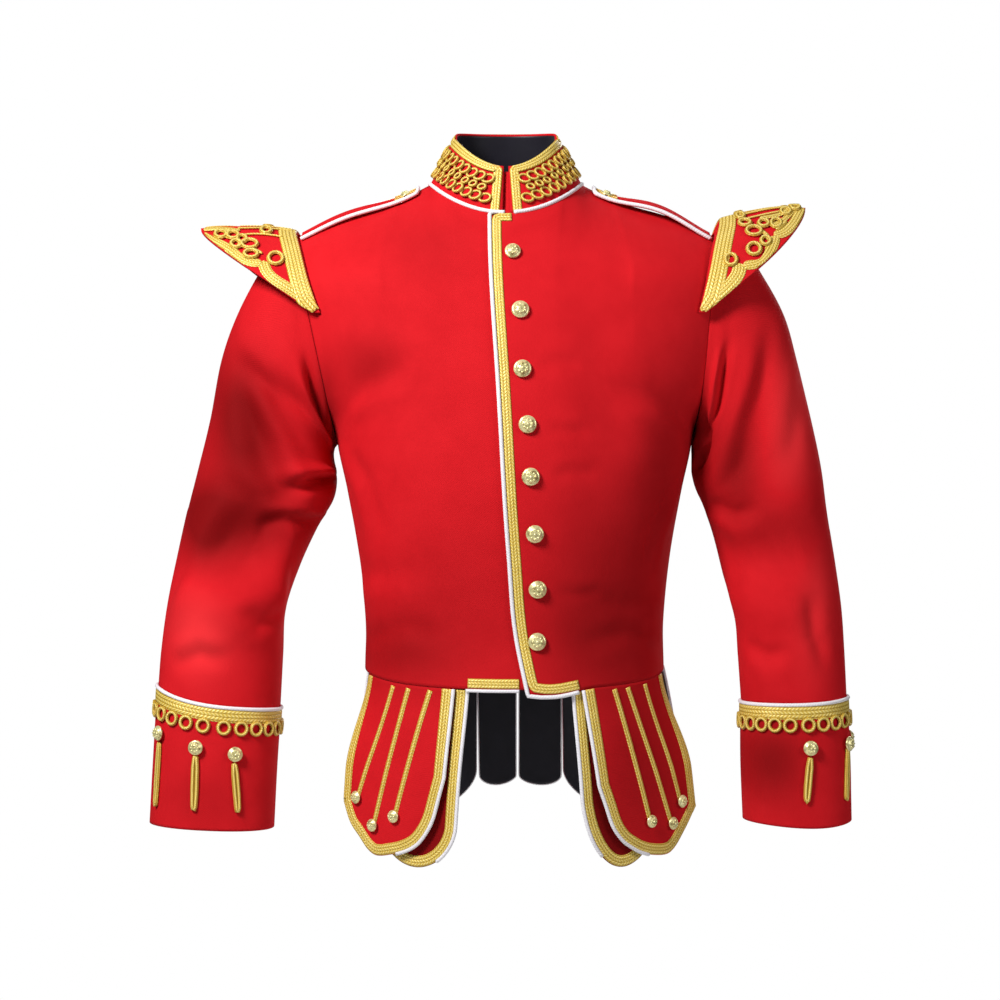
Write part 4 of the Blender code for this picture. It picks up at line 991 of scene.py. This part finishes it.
def makePanel(half, name):
    side, top, wide = sideOf[name], bodyCut["top"], sheets["panel"][2][0]
    if half == "front":
        surface = faceOf(panelPoint, panelNormal, half, side)[0]
        placesOf = lambda pixels: placesAt(surface, pixels, (0.0, 0.0), (1.0, top))
        creases = creasesOn(panelCreases[name], placesOf, (wide, 1.0))
    else:
        creases = creasesOn(panelCreases["back"], metres)

    def place(u, v):
        up = v * top
        across = mix(panelStart(half, name, up), 1.0, u)
        depth = creaseDepth(creases, across * wide, up) * (1.0 - smoothStep(0.96, 1.0, np.abs(across)))
        depth *= (1.0 - smoothStep(0.46, 0.49, up)) * smoothStep(0.0, 0.02, up) * smoothStep(0.0, 0.1, u)
        if half == "front" and name == "left":
            up = up * np.where(u < 0.02, 1.0 - panelMake["cornerCut"] / top, 1.0)
        point = panelPoint(half, side, across, up) + seamShift(half, side, across, up)
        return point + panelNormal(half, side, across, up) * depth[:, None]

    # eases the cloth below the corner of neck and shoulder
    def ease(shape, verts, flat):
        u, v = flat.T
        across = mix(panelStart(half, name, v * top), 1.0, u)
        low, high = panelMake["easedUp"]
        near = (np.abs(across - neckCut["share"]) < panelMake["easedReach"]) & (v > low) & (v < high) & (u > 0.01)
        soft = [vert for vert, chosen in zip(verts, near) if chosen]
        for step in range(panelMake["easing"]):
            bmesh.ops.smooth_vert(shape, verts=soft, factor=0.5, use_axis_x=True, use_axis_y=True, use_axis_z=True)

    makeCloth(f"{half}_{name}", "panel", place, inside=lining, ease=ease)


for half in halfSign:
    for name in sideOf:
        makePanel(half, name)
print("body panels made")


# ---- sleeves and cuffs ----

armMiddle = {"sleeve": (0.27, 0.0), "cuff": (0.309, -0.033)}
# on the sleeves as pixels of the photo, round the back of each arm as millimetres along and degrees round
sleeveCreases = {
    "right": (
        (((333, 434), (314, 392), (303, 348)), 11, 13.1, 0.35),
        (((238, 372), (258, 440), (287, 520)), 15, 10, 0.55),
        (((230, 366), (272, 390), (318, 420)), 12, 6.3, 0.5),
        (((284, 494), (312, 483), (338, 476)), 10.5, 11.9, 0.6),
        (((255, 528), (285, 520), (318, 524)), 12, 6.3, 0.5),
        (((294, 530), (250, 546), (204, 528)), 38, 15, 0.8),
        (((222, 470), (246, 500), (268, 545)), 14, 5, 0.4),
        (((282, 612), (258, 622), (238, 604)), 12, 4.2, 0.4),
        (((172, 666), (200, 655), (230, 664)), 10, 4.2, 0.4),
    ),
    "left": (
        (((698, 396), (705, 440), (700, 470)), 10, 13.7, 0.3),
        (((728, 335), (722, 380), (713, 425)), 8.5, 8.1, 0.7),
        (((765, 322), (758, 404), (730, 492)), 15, 6.6, 0.55),
        (((803, 370), (797, 420), (786, 470)), 14, 2.2, 0.45),
        (((706, 500), (734, 514), (765, 506)), 15, 5, 0.5),
        (((705, 550), (750, 562), (802, 548)), 30, 8.8, 0.6),
        (((806, 590), (815, 635), (828, 668)), 11, 4.4, 0.4),
        (((745, 640), (766, 656), (792, 650)), 10, 3.7, 0.4),
    ),
    "behind": (
        (((60, 205), (110, 215), (160, 208)), 10, 4.8, 0.5),
        (((120, 300), (170, 275), (225, 240)), 11.5, 4.2, 0.5),
        (((215, 215), (235, 245), (240, 285)), 9.5, 4.6, 0.55),
        (((250, 210), (275, 240), (280, 275)), 9.5, 3, 0.5),
        (((330, 300), (360, 270), (400, 250)), 11, 2.4, 0.4),
    ),
}


def aroundArm(kind, name):
    x, y = armMiddle[kind]
    return lambda spot: (spot.x - sideOf[name] * x, spot.y - y, 0.0)


def makeSleeve(name):
    surface, normals = faceOf(sleevePoint, sleeveNormal, name)
    radius, end = math.radians(1.0) * sleeveCut["armRadius"], sleeveCut["end"]
    placesOf = lambda pixels: placesAt(surface, pixels, (0.0, 0.0), (end, 180.0))
    creases = creasesOn(sleeveCreases[name], placesOf, (1.0, radius))
    creases += creasesOn(sleeveCreases["behind"], np.array, (0.001, radius))

    def place(u, v):
        along, degrees = v * end, u * 360.0
        depth = creaseDepth(creases, along, degrees * radius) * smoothStep(0.0, 0.03, along)
        depth *= 1.0 - smoothStep(end - 0.02, end, along)
        depth *= smoothStep(0.0, 14.0, 180.0 - np.abs(180.0 - degrees))
        return surface(along, degrees) + normals(along, degrees) * depth[:, None]

    makeCloth(f"sleeve_{name}", "sleeve", place, aroundArm("sleeve", name), lining, closed=True)


def makeCuff(name):
    place = lambda u, v: cuffPoint(name, v, u * 360.0)
    makeCloth(f"cuff_{name}", "cuff", place, aroundArm("cuff", name), lining, closed=True)


# ---- cuff trims: piping, band, hanging loops, three doubled bars ----

cuffTrim = {
    "pipingRadius": 0.002, "sink": 0.0016, "band": 0.015, "height": 0.0012, "bandAt": 0.063,
    "loops": 23, "firstLoop": 0.35, "loopAt": 0.164, "loopHalf": (0.0064, 0.0061), "thread": 0.0019,
    "barHalf": 1.75, "barTip": 0.06, "barRadius": 0.0021,
    # bars and buttons as share down the cuff and degrees round it
    "bars": {
        "right": ((0.386, 36.2, 0.87, 35.3), (0.418, 79.2, 0.857, 80.2), (0.452, 110.5, 0.86, 116.0)),
        "left": ((0.393, 31.5, 0.821, 37.5), (0.432, 82.7, 0.801, 86.6), (0.4, -14.0, 0.82, -14.0)),
    },
    "buttons": {
        "right": ((0.311, 36.0), (0.349, 79.2), (0.378, 110.5)),
        "left": ((0.358, 32.0), (0.351, 82.5), (0.345, -14.0)),
    },
}


def makeCuffTrims(name):
    face = faceOf(cuffPoint, cuffNormal, name)
    round = np.degrees(roundTurns(96))
    piping = (*readFace(face, 0.0, round), cordSection(cuffTrim["pipingRadius"], 10, -cuffTrim["sink"]), True)
    makeTrim(f"cuff_{name}_piping", whiteCord, [piping], f"cuff_piping_{name}")
    band = (*readFace(face, cuffTrim["bandAt"], round), bandSection(cuffTrim["band"], cuffTrim["height"]), True)
    makeTrim(f"cuff_{name}_band", broadBraid, [band], f"cuff_braid_{name}")
    runs = []
    for index in range(cuffTrim["loops"]):
        place = (cuffTrim["loopAt"], 360.0 * (index + cuffTrim["firstLoop"]) / cuffTrim["loops"])
        runs.append(ringOn(face, place, (0.05, 0.0), *cuffTrim["loopHalf"], cuffTrim["thread"]))
    half = cuffTrim["barHalf"]
    for low, start, high, end in cuffTrim["bars"][name]:
        near = high - cuffTrim["barTip"]
        corners = ((low, start - half), (near, end - half), (high, end), (near, end + half), (low, start + half))
        run = runOn(face, corners, 0.003, closed=True, smooth=1)
        runs.append((*run, cordSection(cuffTrim["barRadius"]), True))
    makeTrim(f"cuff_{name}_loops", goldThread, runs)


for name in sideOf:
    makeSleeve(name)
    makeCuff(name)
for name in sideOf:
    makeCuffTrims(name)
print("sleeves and cuffs made")


# ---- collar ----

collarTrim = {
    "band": 0.01, "height": 0.0013, "bandHigh": 0.925, "bandTurn": 5.9, "pipingRadius": 0.0021, "sink": 0.0016,
    "pipingTurn": 3.0, "binding": 0.0015, "bound": (84.0, 276.0),
    # rings in rows: height, shift in steps, half length, half width
    "rows": ((0.665, 0.0, 0.0055, 0.0062), (0.455, 0.5, 0.0036, 0.0042), (0.25, 0.0, 0.0055, 0.0062)),
    "thread": 0.00155, "count": 20, "firstTurn": 17.0,
    # the tab that shows red behind the opening: degrees to each side, metres behind
    "tab": 8.0, "behind": 0.0042,
}


def makeCollar():
    opening = collarCut["opening"]
    place = lambda u, v: collarPoint(mix(opening, 360.0 - opening, u) - np.where(u > 0.5, 360.0, 0.0), v)
    makeCloth("collar", "collar", place, inside=lining)


def makeCollarTab():
    def place(u, v):
        across = mix(collarTrim["tab"], -collarTrim["tab"], u)
        return collarPoint(across, v * 0.92 + 0.02) - collarNormal(across, v) * collarTrim["behind"]

    makeCloth("collar_tab", "tab", place, replaced=False)


def makeCollarTrims():
    face = (collarPoint, collarNormal)
    start, high = collarCut["opening"] + collarTrim["bandTurn"], collarTrim["bandHigh"]
    step = (180.0 - collarTrim["firstTurn"]) / collarTrim["count"]
    bands, rings, pipings = [], [], []
    for side in (-1, 1):
        places = [(start, 0.01), (start, high)] + [(degrees, high) for degrees in np.linspace(14.0, 180.0, 40)]
        run = runOn(face, np.array(places) * (side, 1.0), smooth=0)
        bands.append((*run, bandSection(collarTrim["band"], collarTrim["height"])))
        for height, shift, *halves in collarTrim["rows"]:
            for index in range(collarTrim["count"]):
                degrees = side * (collarTrim["firstTurn"] + step * (index + shift))
                lift = 0.0005 * (index % 2) + 0.0004 * (shift > 0.0)
                rings.append(ringOn(face, (degrees, height), (0.0, 0.4), *halves, collarTrim["thread"], lift))
        round = side * np.linspace(collarCut["opening"] + collarTrim["pipingTurn"], 180.0, 70)
        section = cordSection(collarTrim["pipingRadius"], 10, -collarTrim["sink"])
        pipings.append((*readFace(face, round, 0.0), section))
    makeTrim("collar_band", flatBraid, bands, "collar_braid")
    makeTrim("collar_rings", goldThread, rings)
    makeTrim("collar_seam_piping", whiteCord, pipings, "collar_piping")
    round = np.linspace(*collarTrim["bound"], 120)
    points, outs = readFace(face, np.where(round > 180.0, round - 360.0, round), 1.0)
    section = cordSection(collarTrim["binding"], 8, -collarTrim["binding"])
    makeTrim("collar_top_binding", wool, [(points - outs * sheets["collar"][3] * 0.5, outs, section)])


makeCollar()
makeCollarTrims()
makeCollarTab()
print("collar made")


# ---- front edge: braid, piping, hem bars ----

frontTrim = {
    "band": 0.01, "height": 0.0013, "pipingRadius": 0.0021, "hemRadius": 0.0017, "sink": 0.0014,
    "hemTo": 0.05, "neckTo": 0.021, "below": -0.0015, "rightHem": (-0.004, 0.048),
    # metres between braid and edge, from its ends at neck and hem, and heights where it follows the edge
    "clear": 0.0006, "neckDown": 0.0075, "hemClear": 0.001, "bandUp": (0.484, 0.012), "pipingUp": (0.496, 0.004),
    "neckCorner": (0.014, 0.002), "above": 0.0005,
}


def makeFrontTrims():
    top, hemTo, below = bodyCut["top"], frontTrim["hemTo"], frontTrim["below"]
    hem, neck = frontEdgeX([0.0, top])
    inside = frontTrim["band"] / 2.0 + frontTrim["clear"]
    foot = frontTrim["band"] / 2.0 + frontTrim["hemClear"]
    down, high = top - frontTrim["neckDown"], top + frontTrim["above"]
    band = bandSection(frontTrim["band"], frontTrim["height"])

    def beside(heights, count, away):
        return [(frontEdgeX(up)[0] + away, up) for up in np.linspace(*heights, count)]

    def lay(name, side, finish, places, section, sink, smooth, node):
        points, outs = runOn(frontFace(side), places, smooth=smooth)
        makeTrim(name, finish, [(points - outs * sink, outs, section)], node)

    places = [(neck + frontTrim["neckTo"], down), (neck + inside, down)]
    places += beside(frontTrim["bandUp"], 60, inside) + [(hem + foot, foot), (hem + hemTo, foot)]
    lay("front_edge_braid", 1, flatBraid, places, band, 0.0, 1, "front_braid")
    places = [(neck + away, high) for away in frontTrim["neckCorner"]]
    places += beside(frontTrim["pipingUp"], 80, -frontTrim["pipingRadius"] * 0.8)
    places += [(hem - frontTrim["hemClear"], below), (hem + hemTo, below)]
    section = cordSection(frontTrim["pipingRadius"], 10)
    lay("front_edge_piping", 1, whiteCord, places, section, frontTrim["sink"], 1, "front_piping")
    start, end = frontTrim["rightHem"]
    places = [(start, foot), (end, foot)]
    lay("right_hem_braid", -1, flatBraid, places, band, 0.0, 0, "hem_braid_right")
    section = cordSection(frontTrim["hemRadius"], 10)
    lay("right_hem_piping", -1, whiteCord, [(start, below), (hemTo, below)], section, frontTrim["sink"], 0, None)


makeFrontTrims()
print("front trims made")


# ---- wings ----

wingTrim = {
    "band": {"right": 0.0195, "left": 0.0185}, "from": {"right": 0.015, "left": 0.06}, "fromMost": 0.0055,
    "bandHeight": 0.0017, "height": 0.0014, "thread": 0.0022,
}
# braid on the wings as the photo shows it: bands as pixels and width in mm, rings as pixel and half sizes
wingArt = {
    "right": {
        "bands": (
            (((319, 309), (302, 297.5), (287.5, 288), (274, 279.5), (267.3, 272.8), (264.5, 266.4),
              (263.5, 261.5)), 12.8),
            (((262, 263.5), (252, 263), (242, 259), (233, 252), (227.5, 246)), 13.2),
            (((236, 253.5), (226, 246.5), (216, 241), (203.8, 234)), 11),
            (((240, 231.6), (228, 230), (216, 229.6), (203.6, 230.6)), 9.2),
            (((292, 232), (278, 230.4), (264, 229.2), (250, 229.2), (238, 229.4)), 3.2),
            (((282, 238), (270, 236), (256, 235), (242, 236)), 2.6),
            (((226, 239), (235, 239), (241, 243), (238, 248.5)), 4.4),
            (((247, 250), (256, 251), (262, 255)), 4),
        ),
        "rings": (
            (275.6, 259.6, 7.2, 5.8), (249.6, 245.4, 7.8, 4.2), (251, 255.4, 6.8, 3.8), (266, 232, 5, 3),
            (221, 236, 5.6, 3.4), (233, 237, 5.6, 3.4), (242, 240.5, 4.6, 3.6), (236.5, 245.5, 5.4, 3.6),
        ),
    },
    "left": {
        "bands": (
            (((700.5, 314), (716, 298), (728.3, 286.6), (737, 276.5), (739.5, 269), (739, 264)), 15),
            (((743, 266.5), (759, 264), (768.3, 254), (773, 244), (775, 236.5)), 12.8),
            (((774, 236), (784, 233.5), (792.5, 225), (798, 215.5), (801, 208.5)), 14),
            (((771, 226), (780, 223.5), (787.5, 217), (793, 210.5)), 7),
            (((735, 217.5), (752, 213.5), (768, 210), (782, 207.5), (797, 205.5)), 2.8),
            (((738, 222), (754, 218), (768, 214.8), (780, 212.5)), 2.8),
            (((760, 219.5), (772, 217.5), (781, 215.5), (789, 210)), 6.6),
            (((761, 232), (767, 236), (768.5, 241.5)), 4.8), (((786, 222), (781, 227.5), (776, 231)), 4.8),
        ),
        "rings": (
            (731, 260.8, 5.6, 5.6), (753.9, 250.2, 6.6, 5.8), (753.9, 232.4, 7.4, 4.4), (776, 224.6, 5, 4.4),
            (745, 224.2, 5.6, 3), (740.5, 217.5, 3.8, 2.6), (763.5, 224.6, 5, 3.4), (785.5, 213, 4.8, 3.2),
            (795, 208.5, 4.4, 3), (765.5, 242, 4.6, 4.2),
        ),
    },
}


def makeWing(name):
    face = faceOf(wingPoint, wingNormal, name)
    place = lambda u, v: face[0](np.sin((u * 2.0 - 1.0) * np.pi / 2.0), v)
    makeCloth(f"wing_{name}", "wing", place, upward, wool)
    stations = np.linspace(-0.985, 0.985, 130)
    room, full = roomOf(name, stations), wingTrim["band"][name]
    start = np.minimum(wingTrim["from"][name] * room, wingTrim["fromMost"])
    band = np.minimum(full, 0.97 * room - start)
    run = readFace(face, stations, (start + band / 2.0) / room)
    section = bandSection(full, wingTrim["bandHeight"], 14)
    makeTrim(f"wing_{name}_band", broadBraid, [(*run, section, False, band / full)], f"wing_braid_{name}")
    runs = []
    for end in (1.0, -1.0):  # the half behind mirrors the half that shows
        placesOf = lambda pixels: placesAt(face[0], pixels, (0.005, 0.02), (0.99, 0.985)) * (end, 1.0)
        for index, (pixels, width) in enumerate(wingArt[name]["bands"]):
            width = width / 1000.0
            station, out = stepsOn(face[0], placesOf(pixels), 0.0017).T
            points, outs = readFace(face, station, out)
            inside = np.minimum(out, 1.0 - out) * roomOf(name, station) * 0.9 / (width / 2.0)
            spread = np.minimum(roundEnds(points, width / 2.0), np.clip(inside, 0.15, 1.0))
            runs.append((points, outs, bandSection(width, wingTrim["height"], 10, 0.0002 * index), False, spread))
        for index, (x, y, halfWidth, halfHeight) in enumerate(wingArt[name]["rings"]):
            turns = roundTurns(14)
            pixels = joined(x + halfWidth * np.cos(turns), y + halfHeight * np.sin(turns))
            run = runOn(face, placesOf(pixels), 0.0026, closed=True, smooth=1)
            runs.append((*run, cordSection(wingTrim["thread"], 6, 0.0002 * (index % 3)), True))
    makeTrim(f"wing_{name}_scrolls", flatBraid, runs)


for name in sideOf:
    makeWing(name)
print("wings made")


# ---- shoulder straps ----

strapTrim = {
    "line": 0.0026, "lineHeight": 0.0009, "lineAt": (-0.76, 0.76), "pipingRadius": 0.0022, "sink": 0.0012,
    "thread": 0.0009, "ringHalf": (0.0048, 0.0034), "button": (0.11, -0.2),
    "rings": ((0.05, -0.5), (0.1, -0.1), (0.05, 0.4), (0.16, -0.5), (0.16, 0.35)),
}


def makeStrap(name):
    face = faceOf(strapPoint, strapNormal, name)
    makeCloth(f"strap_{name}", "strap", lambda u, v: face[0](u, v * 2.0 - 1.0), upward, wool)
    places = [(1.0, -1.0)] + [(part, -1.0) for part in np.linspace(0.98, 0.0, 30)] + [(0.0, 0.0), (0.0, 1.0)]
    places += [(part, 1.0) for part in np.linspace(0.02, 1.0, 30)]
    points, outs = runOn(face, places, smooth=1)
    piping = (points - outs * strapTrim["sink"], outs, cordSection(strapTrim["pipingRadius"], 8))
    makeTrim(f"strap_{name}_piping", whiteCord, [piping])
    runs = []
    for crosswise in strapTrim["lineAt"]:
        run = runOn(face, [(part, crosswise) for part in np.linspace(0.99, 0.06, 30)], smooth=0)
        runs.append((*run, bandSection(strapTrim["line"], strapTrim["lineHeight"], 6)))
    for place in strapTrim["rings"]:
        runs.append(ringOn(face, place, (0.1, 0.0), *strapTrim["ringHalf"], strapTrim["thread"]))
    makeTrim(f"strap_{name}_gold", goldThread, runs)


for name in sideOf:
    makeStrap(name)
print("straps made")


# ---- tashes ----

tashTrim = {
    "band": 0.0114, "height": 0.0012, "inset": 0.0062, "pipingRadius": {"front": 0.002, "back": 0.0013},
    # how far the piping runs round an outer and an under front tash
    "pipingTo": (0.42, 0.3), "barWidth": 0.0056, "barHeight": 0.0016, "barFrom": 0.02,
    # bars: place across at the waist, place across and down at the button
    "bars": {
        "front_right": ((0.183, 0.412, 0.774), (0.387, 0.62, 0.833), (0.561, 0.821, 0.773)),
        "front_left": ((0.265, 0.428, 0.801), (0.404, 0.657, 0.848), (0.624, 0.797, 0.797)),
    },
}


def easedAcross(part):
    return 0.5 - 0.5 * np.cos(np.pi * part)


# the edge of a tash, from one end of the waist seam round to the other, moved in by a distance
def tashEdge(name, inset, upTo=1.0):
    half, side, start, end = tashRows[name][:4]
    width = (end - start) * tashCut["flatReach" if half == "front" else "backReach"]
    crosswise = easedAcross(np.linspace(0.0, upTo, 60))
    lengths = tashLength(name, crosswise)
    edge = [(0.0, length) for length in np.linspace(0.0, lengths[0], 24)[:-1]]
    edge += zip(crosswise * width, lengths)
    if upTo == 1.0:
        edge += [(width, length) for length in np.linspace(lengths[-1], 0.0, 24)[1:]]
    edge = np.array(edge)
    way = unit(np.gradient(edge, axis=0))
    x, down = (edge + joined(way[:, 1], -way[:, 0]) * inset).T
    across = np.clip(x / width, 0.0, 1.0)
    return joined(across, np.clip(down / tashLength(name, across), 0.004, 1.0))


def makeTash(name):
    half, layer = tashRows[name][0], tashRows[name][-1]
    node = f"tash_{name}"
    face = faceOf(tashPoint, tashNormal, name)
    makeCloth(node, "tash", lambda u, v: face[0](easedAcross(u), v), inside=lining)
    radius = tashTrim["pipingRadius"][half]
    upTo = tashTrim["pipingTo"][layer] if half == "front" else 1.0
    run = runOn(face, tashEdge(name, 0.0, upTo), smooth=0)
    makeTrim(f"{node}_piping", whiteCord, [(*run, cordSection(radius, 8, -radius))])
    if half == "back":
        return
    run = runOn(face, tashEdge(name, tashTrim["inset"]), smooth=0)
    runs = [(*run, bandSection(tashTrim["band"], tashTrim["height"]))]
    for top, foot, down in tashTrim["bars"].get(name, ()):
        part = np.linspace(0.0, 0.98, 24)
        places = joined(mix(top, foot, part), mix(tashTrim["barFrom"], down, part))
        runs.append((*runOn(face, places, smooth=0), bandSection(tashTrim["barWidth"], tashTrim["barHeight"], 8)))
    makeTrim(f"{node}_braid", flatBraid, runs, f"tash_braid_{name}")


for name in tashRows:
    makeTash(name)
print("tashes made")


# ---- buttons ----

# up, metres in from the front edge
buttonRows = (
    (0.4346, 0.0215), (0.3741, 0.026), (0.3205, 0.024), (0.2658, 0.0257),
    (0.2158, 0.026), (0.159, 0.0265), (0.1025, 0.0252), (0.05, 0.019),
)
buttonMake = {
    "radius": {"first": 0.0083, "front": 0.0092, "cuff": 0.0078, "tash": 0.0066, "strap": 0.0054},
    "lift": {"cuff": 0.002, "tash": 0.0014}, "steps": 40,
    # radius share, height share from the foot, crown first
    "profile": (
        (0.0, 0.86), (0.22, 0.85), (0.44, 0.8), (0.62, 0.71), (0.76, 0.58), (0.82, 0.5), (0.86, 0.5), (0.93, 0.46),
        (0.99, 0.36), (1.0, 0.28), (0.94, 0.2), (0.7, 0.16), (0.3, 0.14), (0.28, 0.0), (0.0, 0.0),
    ),
    # a plain ring of raised petals round a boss: distance out, height, radius
    "petals": 8, "petal": (0.5, 0.745, 0.15), "boss": (0.0, 0.8, 0.2),
}


def makeButton(name, node, face, place, kind):
    radius = buttonMake["radius"][kind]
    point, normal = (found[0] for found in readFace(face, *place))
    shape = bmesh.new()
    line = [shape.verts.new((out * radius, 0.0, high * radius)) for out, high in buttonMake["profile"]]
    edges = [shape.edges.new(pair) for pair in zip(line, line[1:])]
    bmesh.ops.spin(shape, geom=line + edges, cent=(0.0, 0.0, 0.0), axis=(0.0, 0.0, 1.0), angle=turn,
                   steps=buttonMake["steps"], use_merge=True)
    bmesh.ops.remove_doubles(shape, verts=shape.verts, dist=1e-6)
    beads = [(angle, *buttonMake["petal"]) for angle in roundTurns(buttonMake["petals"])]
    for angle, out, high, size in beads + [(0.0, *buttonMake["boss"])]:
        place = Vector((math.cos(angle) * out, math.sin(angle) * out, high)) * radius
        bmesh.ops.create_icosphere(shape, subdivisions=2, radius=radius * size, matrix=Matrix.Translation(place))
    turned = Vector(normal).to_track_quat("Z", "Y").to_matrix().to_4x4()
    foot = Vector(point + normal * buttonMake["lift"].get(kind, 0.0))
    bmesh.ops.transform(shape, matrix=Matrix.Translation(foot) @ turned, verts=shape.verts)
    bmesh.ops.recalc_face_normals(shape, faces=shape.faces)
    makePiece(name, shape, brass, node)


def makeButtons():
    face = frontFace(1)
    for index, (up, inset) in enumerate(buttonRows, 1):
        place, kind = (frontEdgeX(up)[0] + inset, up), "front" if index > 1 else "first"
        makeButton(f"front_button_{index}", f"button_front_{index}", face, place, kind)
    for name in sideOf:
        face = faceOf(strapPoint, strapNormal, name)
        makeButton(f"strap_button_{name}", f"button_strap_{name}", face, strapTrim["button"], "strap")
        face = faceOf(cuffPoint, cuffNormal, name)
        for index, place in enumerate(cuffTrim["buttons"][name], 1):
            makeButton(f"cuff_button_{name}_{index}", f"button_cuff_{name}_{index}", face, place, "cuff")
        face = faceOf(tashPoint, tashNormal, f"front_{name}")
        for index, (top, *place) in enumerate(tashTrim["bars"][f"front_{name}"], 1):
            makeButton(f"tash_button_{name}_{index}", f"button_tash_front_{name}_{index}", face, place, "tash")


makeButtons()
print("buttons made")


# ---- studio ----

studio = {
    "floor": -1.25, "floorRadius": 1.5, "floorColour": (0.86, 0.86, 0.86, 1.0), "lens": 80.75, "world": 0.035,
    "aim": (0.0, 0.0, -0.32),
    # place, size, power
    "lights": {
        "key": ((-1.08, -1.32, 0.84), 0.55, 52.0), "fill": ((1.7, -1.5, 0.25), 1.0, 15.0),
        "top": ((0.1, 0.4, 1.3), 1.0, 4.0), "back": ((0.9, 2.3, 0.5), 1.4, 26.0),
    },
}


def makeStudio():
    shape = bmesh.new()
    bmesh.ops.create_circle(shape, cap_ends=True, segments=96, radius=studio["floorRadius"],
                            matrix=Matrix.Translation((0.0, 0.0, studio["floor"])))
    pale = Finish("pale floor", roughness=0.9, base_color=studio["floorColour"])
    addObject("floor", meshOf("floor", shape, {"material": pale.material}))
    for name, (place, size, power) in studio["lights"].items():
        lamp = bpy.data.lights.new(name, "AREA")
        lamp.size, lamp.energy = size, power
        way = Vector(studio["aim"]) - Vector(place)
        addObject(name, lamp, place, way.to_track_quat("-Z", "Y").to_euler())
    lens = bpy.data.cameras.new("photo camera")
    lens.lens, lens.sensor_width = studio["lens"], 36.0
    place = (photoView["x"], -photoView["distance"], photoView["height"])
    bpy.context.scene.camera = addObject("photo camera", lens, place, (math.radians(90.0), 0.0, 0.0))
    bpy.context.scene.view_settings.view_transform = "Standard"


# soft light from all sides, and white where the camera sees past the doublet
def makeWorld():
    world = bpy.data.worlds.new("studio")
    world.use_nodes = True
    nodes, links = world.node_tree.nodes, world.node_tree.links
    soft, seen = nodes["Background"], nodes.new("ShaderNodeBackground")
    for background in (soft, seen):
        background.inputs[0].default_value = (1.0, 1.0, 1.0, 1.0)
    soft.inputs[1].default_value = studio["world"]
    choose = nodes.new("ShaderNodeMixShader")
    links.new(nodes.new("ShaderNodeLightPath").outputs["Is Camera Ray"], choose.inputs[0])
    links.new(soft.outputs[0], choose.inputs[1])
    links.new(seen.outputs[0], choose.inputs[2])
    links.new(choose.outputs[0], nodes["World Output"].inputs[0])
    bpy.context.scene.world = world


makeStudio()
makeWorld()
print("studio ready")
